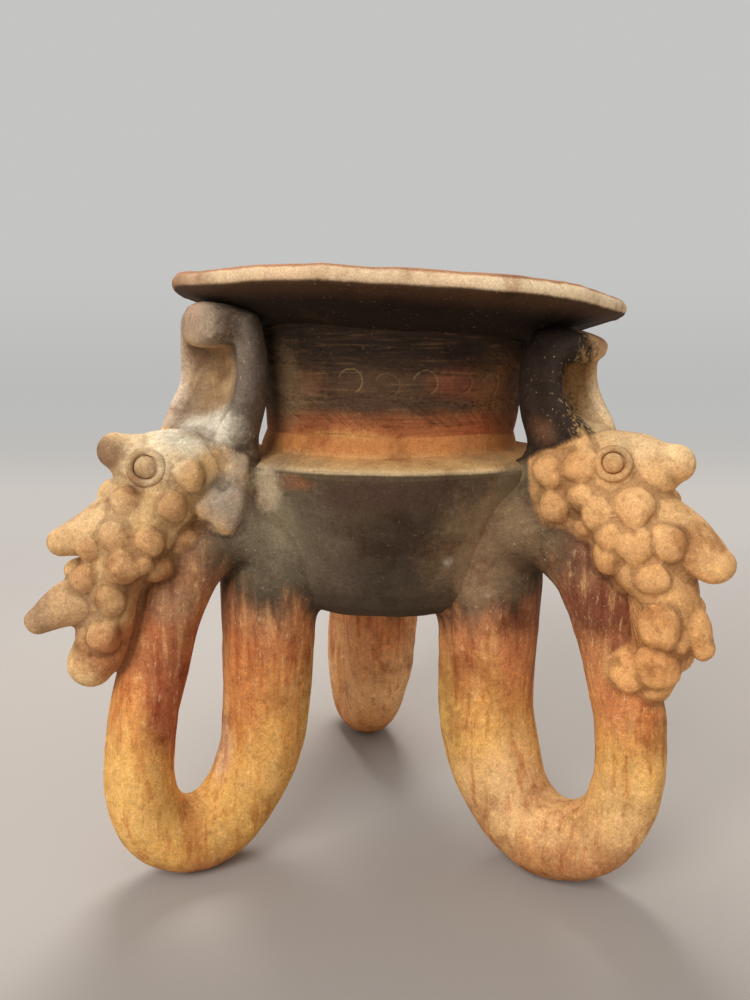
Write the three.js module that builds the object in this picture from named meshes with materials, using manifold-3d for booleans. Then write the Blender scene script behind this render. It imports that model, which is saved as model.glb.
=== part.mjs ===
// A hand-built terracotta bowl on three looped legs, each topped by a modelled saurian head.
// Units are millimetres, +Z is up, and the vessel stands on z = 0 under the middle of its box.
import * as THREE from 'three';
import { mergeVertices } from 'three/addons/utils/BufferGeometryUtils.js';
import Module from 'manifold-3d';

const wasm = await Module();
wasm.setup();

// Clearance left between two pieces that the potter luted together
const seam = 0.3;

// Bowl: the height of its underside and of each zone above it, the radii of its base and
// shoulder, how far the ledge runs in from there, and how far the neck flares out again
const bowlLift = 110;
const bodyTall = 63;
const ledgeRise = 5;
const neckTall = 47;
const baseRadius = 40;
const shoulderRadius = 73.5;
const ledgeRun = 19;
const neckFlare = 7.5;

// Bowl: wall thicknesses
const baseThick = 7;
const bodyWall = 6.5;
const neckWall = 6;

// Flange: its reach from the neck to the middle of the lip's round, the rise of its underside
// over that reach, and its thickness
const flangeReach = 31;
const flangeRise = 11.5;
const flangeThick = 7;

// Lean of the hand-built neck: how far its foot and the rim stand off the axis, and the rim's tilt
const neckShift = -2.6;
const rimShift = 1.2;
const rimTiltDegrees = 3.2;

// Heights and radii that these sizes give
const shoulderZ = bowlLift + bodyTall;
const waistZ = shoulderZ + ledgeRise;
const rimJointZ = waistZ + neckTall;
const lipBottomZ = rimJointZ + flangeRise;
const waistRadius = shoulderRadius - ledgeRun;
const neckTopRadius = waistRadius + neckFlare;
const lipCentreRadius = neckTopRadius + flangeReach;

// Legs: one roll of clay each, from under the bowl, round the foot and back into the wall, how
// high it climbs past the bowl's underside, and how far each reaches out past the shoulder
const loopClimb = 40;
const loopRise = bowlLift + loopClimb;
const rollHalf = 20;
const wornDepth = 1;
const leftStride = 45.5;
const rightStride = 40;
const rearStride = 42.5;
const rearSidestep = 15;

// Crests: how far the lip line lies in from the flange's edge, the half tube's depth behind it
// and half width, its wall, the overhang of its cap, its root's height over the bowl's underside,
// and how far each one's full height stays under the flange's edge, which tilts past the left one
const crestInset = 7;
const crestOut = lipCentreRadius - crestInset;
const crestDeep = 25;
const crestHalfWide = 21;
const crestWall = 6;
const crestCapOver = 1;
const crestRootAbove = 62;
const crestRootZ = bowlLift + crestRootAbove;
const leftCrestUnder = -2.5;
const rightCrestUnder = 7.5;
const rearCrestUnder = 3.5;

// Heads: how far they stand off the shoulder and hang below the bowl's underside, their lengths
// and heights, the thickness across the snout, and the applied clay of the eyes and pellets
const headStandOff = 6.5;
const headRoot = shoulderRadius + headStandOff;
const leftHeadBelow = 23;
const rightHeadBelow = 27;
const rearHeadBelow = 24;
const leftHeadLength = 80;
const rightHeadLength = 68;
const rearHeadLength = 72;
const leftHeadTall = 100;
const rightHeadTall = 105;
const rearHeadTall = 101;
const headThick = 40;
const pelletSize = 12;
const eyeRingRadius = 5.7;
const eyeRingHalf = 1.4;
const eyeballRadius = 4;

// How flat a pellet is pressed and how deep it sits as shares of its radius, and how flat the
// outer face of a crest and of its cap is
const pelletFlat = 0.7;
const pelletSink = 0.1;
const crestFront = 0.12;
const capFront = 0.2;

// Height of the domed ends of each kind of roll, as a share of its half depth there
const loopDome = 0.5;
const lobeDome = 1;
const crestDome = 0.22;
const capDome = 0.2;
const channelDome = 0.15;

// Outlines of the bowl as shares, from the first size named to the second: [out, up]
const bellyShares = [
  [0.24, 0.025], [0.42, 0.10], [0.55, 0.21], [0.67, 0.39], [0.81, 0.62], [0.94, 0.85], [1, 0.96],
];
const ledgeShares = [[0.04, 0.06], [0.15, 0.25], [0.52, 0.60], [0.88, 0.88]];
const neckShares = [[0.04, 0.14], [0.27, 0.42], [0.60, 0.74], [1, 1]];
const undersideShares = [[0.10, 0.10], [0.42, 0.45], [0.76, 0.78], [1, 1]];

// Loops as shares of the leg's reach, of loopRise and of rollHalf: [out, up, depth, width].
// The foot's height isn't listed: the middle of the roll lies its own half thickness up there.
const leftLoopShares = [
  [0.50, 0.96, 0.90, 1.40], [0.515, 0.80, 1.00, 1.25], [0.52, 0.61, 1.00, 1.03], [0.535, 0.44, 0.95, 0.95],
  [0.563, 0.305, 0.90, 0.90], [0.625, 0.20, 0.84, 0.84], [0.71, 0.13, 0.80, 0.80],
  [0.82, null, 0.765, 0.765], [0.92, 0.135, 0.75, 0.75], [0.98, 0.215, 0.73, 0.73],
  [1.00, 0.32, 0.71, 0.71], [0.975, 0.48, 0.685, 0.685], [0.93, 0.61, 0.685, 0.685],
  [0.88, 0.745, 0.68, 0.70], [0.815, 0.87, 0.73, 0.80], [0.69, 0.96, 0.82, 1.00],
  [0.54, 0.97, 0.90, 1.25],
];
const rightLoopShares = [
  [0.46, 0.96, 0.92, 1.40], [0.44, 0.80, 1.02, 1.25], [0.435, 0.61, 1.02, 1.05], [0.435, 0.44, 1.00, 1.00],
  [0.46, 0.32, 0.975, 0.975], [0.515, 0.21, 0.92, 0.92], [0.60, 0.14, 0.88, 0.88],
  [0.70, null, 0.85, 0.85], [0.80, 0.118, 0.81, 0.81], [0.89, 0.158, 0.77, 0.77],
  [0.96, 0.225, 0.725, 0.725], [1.00, 0.345, 0.69, 0.69], [0.99, 0.48, 0.69, 0.69],
  [0.955, 0.61, 0.69, 0.70], [0.905, 0.745, 0.69, 0.725], [0.835, 0.88, 0.74, 0.82],
  [0.69, 0.98, 0.83, 1.02], [0.53, 1.00, 0.88, 1.25],
];

// The last places of a loop, which lead from its outer limb back to the bowl
const bridgeCount = 4;

// Lobes of a head as shares of its length, height and thickness, from its root and base:
// [out, up, half depth of the height, half width of the thickness]
const leftLobeShares = {
  nape: [[0.00, 0.86, 0.14, 0.45], [0.06, 0.70, 0.13, 0.44]],
  skull: [[0.05, 0.83, 0.15, 0.38], [0.18, 0.84, 0.17, 0.475], [0.30, 0.83, 0.17, 0.475]],
  jowl: [
    [0.30, 0.79, 0.16, 0.475], [0.40, 0.68, 0.17, 0.50], [0.49, 0.56, 0.16, 0.50],
    [0.575, 0.43, 0.125, 0.425], [0.61, 0.26, 0.12, 0.375],
  ],
  brow: [[0.35, 0.85, 0.10, 0.40], [0.425, 0.865, 0.085, 0.39]],
  nose: [[0.325, 0.85, 0.15, 0.375], [0.44, 0.89, 0.105, 0.29], [0.525, 0.923, 0.07, 0.20]],
  upperJaw: [[0.40, 0.68, 0.16, 0.425], [0.625, 0.63, 0.10, 0.30], [0.79, 0.60, 0.055, 0.175]],
  tongue: [[0.575, 0.37, 0.11, 0.325], [0.775, 0.355, 0.09, 0.25], [0.92, 0.305, 0.05, 0.15]],
  chin: [[0.60, 0.27, 0.115, 0.35], [0.64, 0.16, 0.11, 0.325], [0.69, 0.105, 0.095, 0.275]],
};
const rightLobeShares = {
  nape: [[0.00, 0.85, 0.135, 0.45], [0.09, 0.70, 0.125, 0.44]],
  skull: [[0.03, 0.81, 0.15, 0.40], [0.18, 0.83, 0.16, 0.475], [0.34, 0.83, 0.16, 0.475]],
  jowl: [
    [0.34, 0.79, 0.155, 0.475], [0.44, 0.68, 0.16, 0.50], [0.54, 0.56, 0.145, 0.50],
    [0.66, 0.44, 0.10, 0.40], [0.68, 0.31, 0.11, 0.375],
  ],
  brow: [[0.31, 0.857, 0.105, 0.425], [0.41, 0.88, 0.086, 0.40]],
  nose: [[0.40, 0.85, 0.143, 0.375], [0.56, 0.87, 0.11, 0.30], [0.66, 0.89, 0.067, 0.20]],
  upperJaw: [[0.47, 0.68, 0.152, 0.425], [0.72, 0.624, 0.105, 0.325], [0.89, 0.557, 0.067, 0.20]],
  tongue: [[0.69, 0.35, 0.105, 0.30], [0.79, 0.32, 0.076, 0.225], [0.863, 0.257, 0.043, 0.15]],
  chin: [[0.66, 0.31, 0.105, 0.325], [0.61, 0.19, 0.10, 0.30], [0.566, 0.12, 0.095, 0.275]],
};

// Pellets on one flank as shares of the head's length, its height and pelletSize: [out, up, size].
// On each flank the first ones are pieces of their own, and the others there part of the head.
const leftPelletShares = [
  [0.52, 0.76, 0.83], [0.025, 0.695, 1.50], [0.585, 0.63, 0.83], [0.43, 0.605, 0.84],
  [0.256, 0.59, 1.11], [0.56, 0.513, 0.98], [0.71, 0.46, 0.91], [0.32, 0.73, 0.84],
  [0.62, 0.393, 0.92], [0.13, 0.73, 0.92], [0.384, 0.486, 0.85], [0.65, 0.243, 0.93],
  [0.68, 0.57, 0.71], [0.475, 0.52, 0.65], [0.24, 0.84, 0.80],
];
const rightPelletShares = [
  [0.075, 0.72, 0.97], [0.335, 0.72, 1.00], [0.525, 0.744, 1.12], [0.385, 0.568, 1.02],
  [0.69, 0.635, 1.06], [0.678, 0.347, 1.21], [0.509, 0.166, 1.31], [0.657, 0.20, 1.29],
  [0.649, 0.518, 0.875], [0.55, 0.624, 0.94], [0.23, 0.88, 0.95], [0.056, 0.85, 0.97],
  [0.237, 0.768, 0.83], [0.226, 0.66, 0.83], [0.407, 0.648, 0.83],
];

// Crests as shares of crestOut, of the crest's height, of crestDeep and of crestHalfWide:
// [out, up, depth, width] along the lip line, from inside the head up to the cap
const leftCrestShares = [
  [1.09, 0, 0.96, 0.80], [1.115, 0.15, 1.16, 0.86], [1.10, 0.27, 1.22, 0.90], [1.06, 0.36, 1.12, 0.95],
  [1.015, 0.47, 1.02, 1.00], [1.00, 0.57, 1.00, 1.00], [1.00, 0.77, 0.96, 1.00], [1.00, 0.90, 0.86, 0.95],
];
const rightCrestShares = [
  [1.09, 0, 0.92, 0.80], [1.13, 0.17, 1.16, 0.86], [1.11, 0.30, 1.24, 0.90], [1.06, 0.41, 1.10, 0.95],
  [1.015, 0.53, 0.97, 1.00], [1.00, 0.66, 0.90, 1.00], [1.01, 0.78, 0.82, 0.96], [1.03, 0.85, 0.70, 0.88],
];
// The channel between its foot on the forehead and the cap: [height share, depth share]
const channelShares = [[0.30, 0.26], [0.38, 0.46], [0.48, 0.56], [0.58, 0.58], [0.76, 0.55]];

// The three legs with what stands on them: the heading of each leg's plane, how far that plane
// stands off the bowl's axis, the sizes of its parts and the clay colours of the photograph
const legs = [
  {
    name: 'left', azimuth: 207.6, sidestep: 0, reach: shoulderRadius + leftStride,
    loopShares: leftLoopShares, headBase: bowlLift - leftHeadBelow, headLength: leftHeadLength,
    headTall: leftHeadTall, lobeShares: leftLobeShares,
    eyeShares: [0.425, 0.87], pelletShares: leftPelletShares, ownPellets: { a: 9, b: 4 },
    allPellets: { a: 15, b: 10 },
    crestTall: lipBottomZ - crestRootZ - leftCrestUnder, crestShares: leftCrestShares, flankA: 1,
    colours: { leg: 0xb0703c, head: 0xc49a6a, crest: 0x8d7f6c },
  },
  {
    name: 'right', azimuth: 323.4, sidestep: 0, reach: shoulderRadius + rightStride,
    loopShares: rightLoopShares, headBase: bowlLift - rightHeadBelow, headLength: rightHeadLength,
    headTall: rightHeadTall, lobeShares: rightLobeShares,
    eyeShares: [0.407, 0.892], pelletShares: rightPelletShares, ownPellets: { a: 9, b: 4 },
    allPellets: { a: 15, b: 10 },
    crestTall: lipBottomZ - crestRootZ - rightCrestUnder, crestShares: rightCrestShares, flankA: -1,
    colours: { leg: 0xb4713f, head: 0xc4935b, crest: 0x84664a },
  },
  {
    name: 'rear', azimuth: 109, sidestep: -rearSidestep, reach: shoulderRadius + rearStride,
    loopShares: leftLoopShares, headBase: bowlLift - rearHeadBelow, headLength: rearHeadLength,
    headTall: rearHeadTall, lobeShares: leftLobeShares,
    eyeShares: [0.425, 0.87], pelletShares: leftPelletShares, ownPellets: { a: 4, b: 4 },
    allPellets: { a: 10, b: 10 },
    crestTall: lipBottomZ - crestRootZ - rearCrestUnder, crestShares: leftCrestShares, flankA: 1,
    colours: { leg: 0xc07c46, head: 0xb98a5c, crest: 0x7d6248 },
  },
];

// Facets of turned pieces, of rolls and their domed ends, and of the balls and eye rings
const turnSides = 40;
const lipSteps = 4;
const legSides = 16;
const legFiner = 2;
const lobeSides = 9;
const crestSides = 12;
const domeAngles = [Math.PI / 5, Math.PI / 3];
const ballAround = 7;
const ballDown = 5;
const ringAround = 12;
const ringSides = 5;

// The sharpest corner that an offset outline follows, as the cosine of its half turn
const sharpestCorner = 0.5;

// Turns a closed geometry into a solid that can be joined and cut
function solidOf(geometry) {
  const bare = geometry.clone();
  bare.deleteAttribute('normal');
  bare.deleteAttribute('uv');
  const merged = mergeVertices(bare);
  return new wasm.Manifold(new wasm.Mesh({
    numProp: 3,
    vertProperties: new Float32Array(merged.attributes.position.array),
    triVerts: new Uint32Array(merged.index.array),
  }));
}

// Turns a solid back into a geometry
function geometryOf(solid) {
  const mesh = solid.getMesh();
  const geometry = new THREE.BufferGeometry();
  geometry.setAttribute('position', new THREE.BufferAttribute(new Float32Array(mesh.vertProperties), 3));
  geometry.setIndex(new THREE.BufferAttribute(new Uint32Array(mesh.triVerts), 1));
  geometry.computeVertexNormals();
  return geometry;
}

// A closed skin over rings of equal count, with a point at each end
function loft(rings, startPoint, endPoint) {
  const count = rings[0].length;
  const points = [startPoint, ...rings.flat(), endPoint];
  const last = points.length - 1;
  const index = [];
  for (let side = 0; side < count; side += 1) {
    const next = (side + 1) % count;
    index.push(0, 1 + next, 1 + side);
    for (let ring = 0; ring < rings.length - 1; ring += 1) {
      const low = 1 + ring * count;
      const high = low + count;
      index.push(low + side, low + next, high + next);
      index.push(low + side, high + next, high + side);
    }
    const top = 1 + (rings.length - 1) * count;
    index.push(last, top + side, top + next);
  }
  const geometry = new THREE.BufferGeometry();
  geometry.setAttribute('position', new THREE.Float32BufferAttribute(points.flatMap((p) => p.toArray()), 3));
  geometry.setIndex(index);
  return geometry;
}

// Sections of a roll of clay along a smooth curve in the upright plane y = 0.
// A station is [out, up, half depth in the plane, half width across it], and finer gives the
// number of sections for each step between stations.
function rollSections(stations, finer = 1) {
  const path = new THREE.CatmullRomCurve3(stations.map(([out, up]) => new THREE.Vector3(out, 0, up)));
  const girth = new THREE.CatmullRomCurve3(
    stations.map(([, , deep, wide]) => new THREE.Vector3(deep, wide, 0)), false, 'catmullrom',
  );
  const steps = (stations.length - 1) * finer;
  return Array.from({ length: steps + 1 }, (_, step) => {
    const size = girth.getPoint(step / steps);
    return {
      centre: path.getPoint(step / steps),
      along: path.getTangent(step / steps),
      deep: size.x,
      wide: size.y,
    };
  });
}

// The roll itself: its elliptical sections joined up, with domed ends whose height is a share of
// the section there. A front share under 1 flattens the side that faces away from the bowl.
function clayRoll(stations, { sides, domeShare, finer = 1, frontShare = 1, grow = 0 }) {
  const sections = rollSections(stations, finer);
  const across = new THREE.Vector3(0, 1, 0);
  const section = ({ centre, along, deep, wide }, lift, shrink) => {
    const outward = new THREE.Vector3().crossVectors(across, along);
    const middle = centre.clone().addScaledVector(along, lift);
    return Array.from({ length: sides }, (_, side) => {
      const angle = (side / sides) * 2 * Math.PI;
      const depth = (Math.cos(angle) > 0 ? deep * frontShare : deep) + grow;
      return middle.clone()
        .addScaledVector(outward, depth * shrink * Math.cos(angle))
        .addScaledVector(across, (wide + grow) * shrink * Math.sin(angle));
    });
  };
  const first = sections[0];
  const last = sections[sections.length - 1];
  const startDome = first.deep * domeShare + grow;
  const endDome = last.deep * domeShare + grow;
  const rings = [
    ...domeAngles.toReversed().map((a) => section(first, -startDome * Math.sin(a), Math.cos(a))),
    ...sections.map((s) => section(s, 0, 1)),
    ...domeAngles.map((a) => section(last, endDome * Math.sin(a), Math.cos(a))),
  ];
  const startPoint = first.centre.clone().addScaledVector(first.along, -startDome);
  const endPoint = last.centre.clone().addScaledVector(last.along, endDome);
  return loft(rings, startPoint, endPoint);
}

// Stations from shares of four sizes, in the order of a station
function scaled(shares, sizes) {
  return shares.map((row) => row.map((share, place) => share * sizes[place]));
}

// A turned piece about the Z axis from a closed outline of [radius, height] points
function turned(outline) {
  const closed = [...outline, outline[0]].map(([radius, height]) => new THREE.Vector2(radius, height));
  return new THREE.LatheGeometry(closed, turnSides).rotateX(Math.PI / 2);
}

// An outline moved sideways by a distance for each point, to the left of its direction of travel
function offsetOutline(outline, distances) {
  return outline.map(([radius, height], place) => {
    const before = outline[Math.max(place - 1, 0)];
    const after = outline[Math.min(place + 1, outline.length - 1)];
    const arriving = new THREE.Vector2(radius - before[0], height - before[1]).normalize();
    const leaving = new THREE.Vector2(after[0] - radius, after[1] - height).normalize();
    if (place === 0) arriving.copy(leaving);
    if (place === outline.length - 1) leaving.copy(arriving);
    const normal = new THREE.Vector2(-arriving.y - leaving.y, arriving.x + leaving.x).normalize();
    const turn = normal.dot(new THREE.Vector2(-leaving.y, leaving.x));
    const miter = distances[place] / Math.max(turn, sharpestCorner);
    return [radius + normal.x * miter, height + normal.y * miter];
  });
}

// Points between two corners, placed by shares of the way out and the way up
function between([radiusA, heightA], [radiusB, heightB], shares) {
  return shares.map(([out, up]) => [
    radiusA + (radiusB - radiusA) * out,
    heightA + (heightB - heightA) * up,
  ]);
}

// The bowl's outside from the middle of its underside to the top of its neck
const baseEdge = [baseRadius, bowlLift];
const shoulderEdge = [shoulderRadius, shoulderZ];
const waistEdge = [waistRadius, waistZ];
const neckEdge = [neckTopRadius, rimJointZ];
const lipBottom = [lipCentreRadius, lipBottomZ];
const belly = between(baseEdge, shoulderEdge, bellyShares);
const ledge = between(shoulderEdge, waistEdge, ledgeShares);
const neck = between(waistEdge, neckEdge, neckShares);
const outside = [[0, bowlLift], baseEdge, ...belly, ...ledge, ...neck];
const baseCount = 2;
const bodyCount = baseCount + belly.length;
const ledgeCount = bodyCount + ledge.length;

// The bowl's inside, which turns the shoulder in one corner instead of three: two points fewer
const cornerSkip = 2;
const followed = [
  ...outside.slice(0, bodyCount - 1), shoulderEdge, ...outside.slice(bodyCount + cornerSkip),
];
const inside = offsetOutline(followed, followed.map((_, place) => {
  if (place < baseCount) return baseThick;
  return place < ledgeCount - cornerSkip ? bodyWall : neckWall;
}));
inside[inside.length - 1] = [neckTopRadius - neckWall, rimJointZ];

// The lean of the hand-built vessel: the neck's foot and the rim stand off the axis, and the
// neck tilts more and more on its way up to the rim
function lean(geometry) {
  const tilt = Math.tan(THREE.MathUtils.degToRad(rimTiltDegrees));
  const places = geometry.attributes.position;
  for (let i = 0; i < places.count; i += 1) {
    const x = places.getX(i);
    const z = places.getZ(i);
    const rise = THREE.MathUtils.clamp((z - shoulderZ) / ledgeRise, 0, 1);
    const climb = THREE.MathUtils.clamp((z - waistZ) / neckTall, 0, 1);
    places.setX(i, x + neckShift * (rise - climb) + rimShift * climb);
    places.setZ(i, z - x * tilt * climb);
  }
  return geometry;
}

// A ring of the bowl's wall between two points of its outside, held off its lower neighbour
function wallRing(from, to) {
  const pulled = (line, first, last) => {
    const part = line.slice(first, last + 1).map(([radius, height]) => new THREE.Vector2(radius, height));
    const step = part[1].clone().sub(part[0]).setLength(from > 0 ? seam : 0);
    part[0].add(step);
    return part.map((point) => [point.x, point.y]);
  };
  const [insideFrom, insideTo] = [from, to].map((place) => place - (place < ledgeCount ? 0 : cornerSkip));
  return lean(turned([
    ...pulled(outside, from, to),
    ...pulled(inside, insideFrom, insideTo).reverse(),
  ]));
}

// The flange's underside and round lip
const flangeUnder = [neckEdge, ...between(neckEdge, lipBottom, undersideShares)];
const lipRadius = flangeThick / 2;
const lipRound = Array.from({ length: lipSteps }, (_, step) => {
  const angle = ((step + 1) / (lipSteps + 1) - 0.5) * Math.PI;
  return [
    lipCentreRadius + lipRadius * Math.cos(angle),
    lipBottomZ + lipRadius + lipRadius * Math.sin(angle),
  ];
});

// The flange, with its upper face and throat
function flangeRing() {
  const over = offsetOutline(flangeUnder, flangeUnder.map(() => flangeThick));
  over[0] = [neckTopRadius - neckWall, rimJointZ];
  over[over.length - 1] = [lipCentreRadius, lipBottomZ + flangeThick];
  const under = flangeUnder.map(([radius, height]) => [radius, height]);
  under[0][1] += seam;
  over[0][1] += seam;
  return lean(turned([...under, ...lipRound, ...over.reverse()]));
}

// The whole bowl filled in across its mouth and grown on all sides, to cut its neighbours
function filledBowl(grow) {
  const skin = [...outside, ...flangeUnder.slice(1), ...lipRound];
  const grown = offsetOutline(skin, skin.map(() => -grow));
  grown[0][0] = 0;
  return lean(turned([...grown, [0, lipBottomZ + flangeThick]]));
}

// A leg's loop of clay, with the middle of the foot as high as the roll is thick
function loopStations({ reach, loopShares }) {
  return loopShares.map(([out, up, depth, width]) => {
    const half = depth * rollHalf;
    return [out * reach, up === null ? half - wornDepth : up * loopRise, half, width * rollHalf];
  });
}

// The roll in two lengths, because its end crosses its start inside the wall: the loop round the
// foot, and the bridge back to the bowl
function loopSolid(leg, grow) {
  const options = { sides: legSides, finer: legFiner, domeShare: loopDome, grow };
  const stations = loopStations(leg);
  const shared = 2;
  const loop = clayRoll(stations.slice(0, stations.length - bridgeCount + shared), options);
  const bridge = clayRoll(stations.slice(-bridgeCount), options);
  return solidOf(loop).add(solidOf(bridge));
}

// Everything below the floor, where the foot is worn flat
function belowFloor() {
  const side = loopRise * 2;
  return new THREE.BoxGeometry(side, side, side).translate(0, 0, -side / 2);
}

// The stations of a head's lobes in millimetres
function lobeStations({ headBase, headLength, headTall, lobeShares }) {
  const sizes = [headLength, headTall, headTall, headThick];
  return Object.values(lobeShares).map((lobe) => scaled(lobe, sizes)
    .map(([out, up, deep, wide]) => [headRoot + out, headBase + up, deep, wide]));
}

// How far the flank of a head or of the loop under it stands out from the middle plane at a place
function flankAt(leg, out, up) {
  const heights = [...lobeStations(leg), loopStations(leg)].flatMap((stations) => rollSections(stations))
    .map(({ centre, deep, wide }) => {
      const share = Math.hypot(out - centre.x, up - centre.z) / deep;
      return share < 1 ? wide * Math.sqrt(1 - share * share) : 0;
    });
  return Math.max(...heights);
}

// A pellet pressed on a head's flank: a ball flattened towards the head
function pellet(leg, [outShare, upShare, sizeShare], flank, grow) {
  const out = headRoot + outShare * leg.headLength;
  const up = leg.headBase + upShare * leg.headTall;
  const radius = (sizeShare * pelletSize) / 2;
  return new THREE.SphereGeometry(radius + grow, ballAround, ballDown)
    .scale(1, pelletFlat, 1)
    .translate(out, flank * (flankAt(leg, out, up) - radius * pelletSink), up);
}

// A head: its lobes joined, and the pellets that aren't pieces of their own
function headSolid(leg, grow) {
  const options = { sides: lobeSides, domeShare: lobeDome, grow };
  const lobes = lobeStations(leg).map((stations) => solidOf(clayRoll(stations, options)));
  const fixed = flanksOf(leg).flatMap(({ flank, own, all }) => leg.pelletShares.slice(own, all)
    .map((shares) => solidOf(pellet(leg, shares, flank, grow))));
  return [...lobes, ...fixed].reduce((whole, lump) => whole.add(lump));
}

// The two flanks of a head: a is the one turned to the front of the vessel
function flanksOf({ flankA, ownPellets, allPellets }) {
  return [
    { side: 'a', flank: flankA, own: ownPellets.a, all: allPellets.a },
    { side: 'b', flank: -flankA, own: ownPellets.b, all: allPellets.b },
  ];
}

// A crest's outer form: half a tube with its back to the bowl, from the head up to the flange,
// and the closed cap that overhangs its lips
function crestStations({ crestTall, crestShares }) {
  const sizes = [crestOut, crestTall, crestDeep, crestHalfWide];
  return scaled(crestShares, sizes).map(([out, up, deep, wide]) => [out, crestRootZ + up, deep, wide]);
}

function crestForm(leg, grow) {
  const options = { sides: crestSides, domeShare: crestDome, frontShare: crestFront, grow };
  return clayRoll(crestStations(leg), options);
}

// A place on a crest's lip line at a share of its height
function crestAt(leg, upShare) {
  const stations = crestStations(leg);
  const up = crestRootZ + upShare * leg.crestTall;
  const above = Math.max(stations.findIndex((station) => station[1] >= up), 1);
  const [low, high] = [stations[above - 1], stations[above]];
  const share = (up - low[1]) / (high[1] - low[1]);
  return low.map((value, place) => value + (high[place] - value) * share);
}

// The channel down a crest's outer face, open at the front, and the cap above it
function crestChannel(leg) {
  const stations = channelShares.map(([upShare, depthShare]) => {
    const [out, up, , wide] = crestAt(leg, upShare);
    return [out, up, depthShare * crestDeep, wide - crestWall];
  });
  return clayRoll(stations, { sides: crestSides, domeShare: channelDome });
}

function crestCap(leg, grow) {
  const stations = crestStations(leg).slice(-2)
    .map(([out, up, deep, wide]) => [out + crestCapOver, up, deep, wide]);
  return clayRoll(stations, { sides: crestSides, domeShare: capDome, frontShare: capFront, grow });
}

function crestSolid(leg, grow) {
  return solidOf(crestForm(leg, grow)).add(solidOf(crestCap(leg, grow)));
}

// An eye: a ring of clay round a ball, both pressed on the brow
function eyePlace(leg, flank) {
  const out = headRoot + leg.eyeShares[0] * leg.headLength;
  const up = leg.headBase + leg.eyeShares[1] * leg.headTall;
  return new THREE.Vector3(out, flank * flankAt(leg, out, up), up);
}

function eyeRing(leg, flank, grow) {
  const place = eyePlace(leg, flank);
  return new THREE.TorusGeometry(eyeRingRadius, eyeRingHalf + grow, ringSides, ringAround)
    .rotateX(Math.PI / 2)
    .translate(place.x, place.y, place.z);
}

function eyeball(leg, flank) {
  const place = eyePlace(leg, flank);
  const outermost = eyeRingRadius - eyeRingHalf - seam;
  return new THREE.SphereGeometry(Math.min(eyeballRadius, outermost), ballAround, ballDown)
    .translate(place.x, place.y, place.z);
}

// A named piece with its clay
function piece(name, solid, colour) {
  const material = new THREE.MeshStandardMaterial({ color: colour, roughness: 0.9, metalness: 0 });
  const mesh = new THREE.Mesh(geometryOf(solid), material);
  mesh.name = name;
  return mesh;
}

// The bowl's five pieces
const bowl = new THREE.Group();
bowl.add(
  piece('base_disc', solidOf(wallRing(0, baseCount - 1)), 0x5a4a3c),
  piece('body_wall', solidOf(wallRing(baseCount - 1, bodyCount - 1)), 0x4f463d),
  piece('shoulder_ledge', solidOf(wallRing(bodyCount - 1, ledgeCount)), 0xa8824c),
  piece('neck_wall', solidOf(wallRing(ledgeCount, outside.length - 1)), 0x7a4a2c),
  piece('rim_flange', solidOf(flangeRing()), 0xa06a48),
);

// A leg with its head, crest, eyes and pellets, in a group turned to its place round the bowl
function dressedLeg(leg) {
  const turn = THREE.MathUtils.degToRad(leg.azimuth);
  const group = new THREE.Group();
  group.rotation.z = turn;
  group.position.set(-leg.sidestep * Math.sin(turn), leg.sidestep * Math.cos(turn), 0);
  const bowlCut = solidOf(filledBowl(seam).rotateZ(-turn).translate(0, -leg.sidestep, 0));
  const { colours } = leg;

  const loop = loopSolid(leg, 0).subtract(bowlCut).subtract(solidOf(belowFloor()));
  group.add(piece(`${leg.name}_leg`, loop, colours.leg));

  const loopCut = bowlCut.add(loopSolid(leg, seam));
  group.add(piece(`${leg.name}_head`, headSolid(leg, 0).subtract(loopCut), colours.head));

  const headCut = loopCut.add(headSolid(leg, seam));
  const crest = crestSolid(leg, 0).subtract(solidOf(crestChannel(leg))).subtract(headCut);
  group.add(piece(`${leg.name}_crest`, crest, colours.crest));

  const crestCut = headCut.add(crestSolid(leg, seam));
  for (const { side, flank, own } of flanksOf(leg)) {
    const ring = solidOf(eyeRing(leg, flank, 0)).subtract(crestCut);
    group.add(piece(`${leg.name}_eye_ring_${side}`, ring, colours.head));
    const ball = solidOf(eyeball(leg, flank)).subtract(crestCut);
    group.add(piece(`${leg.name}_eyeball_${side}`, ball, colours.head));
    let taken = crestCut.add(solidOf(eyeRing(leg, flank, seam)));
    leg.pelletShares.slice(0, own).forEach((shares, place) => {
      const lump = solidOf(pellet(leg, shares, flank, 0)).subtract(taken);
      group.add(piece(`${leg.name}_pellet_${side}${place + 1}`, lump, colours.head));
      taken = taken.add(solidOf(pellet(leg, shares, flank, seam)));
    });
  }
  return group;
}

// The vessel, moved so that its origin is under the middle of its box
const vessel = new THREE.Group();
vessel.add(bowl, ...legs.map(dressedLeg));
vessel.updateMatrixWorld(true);
const middle = new THREE.Box3().setFromObject(vessel, true).getCenter(new THREE.Vector3());
vessel.position.set(-middle.x, -middle.y, 0);

export default vessel;
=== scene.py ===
import math

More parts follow.
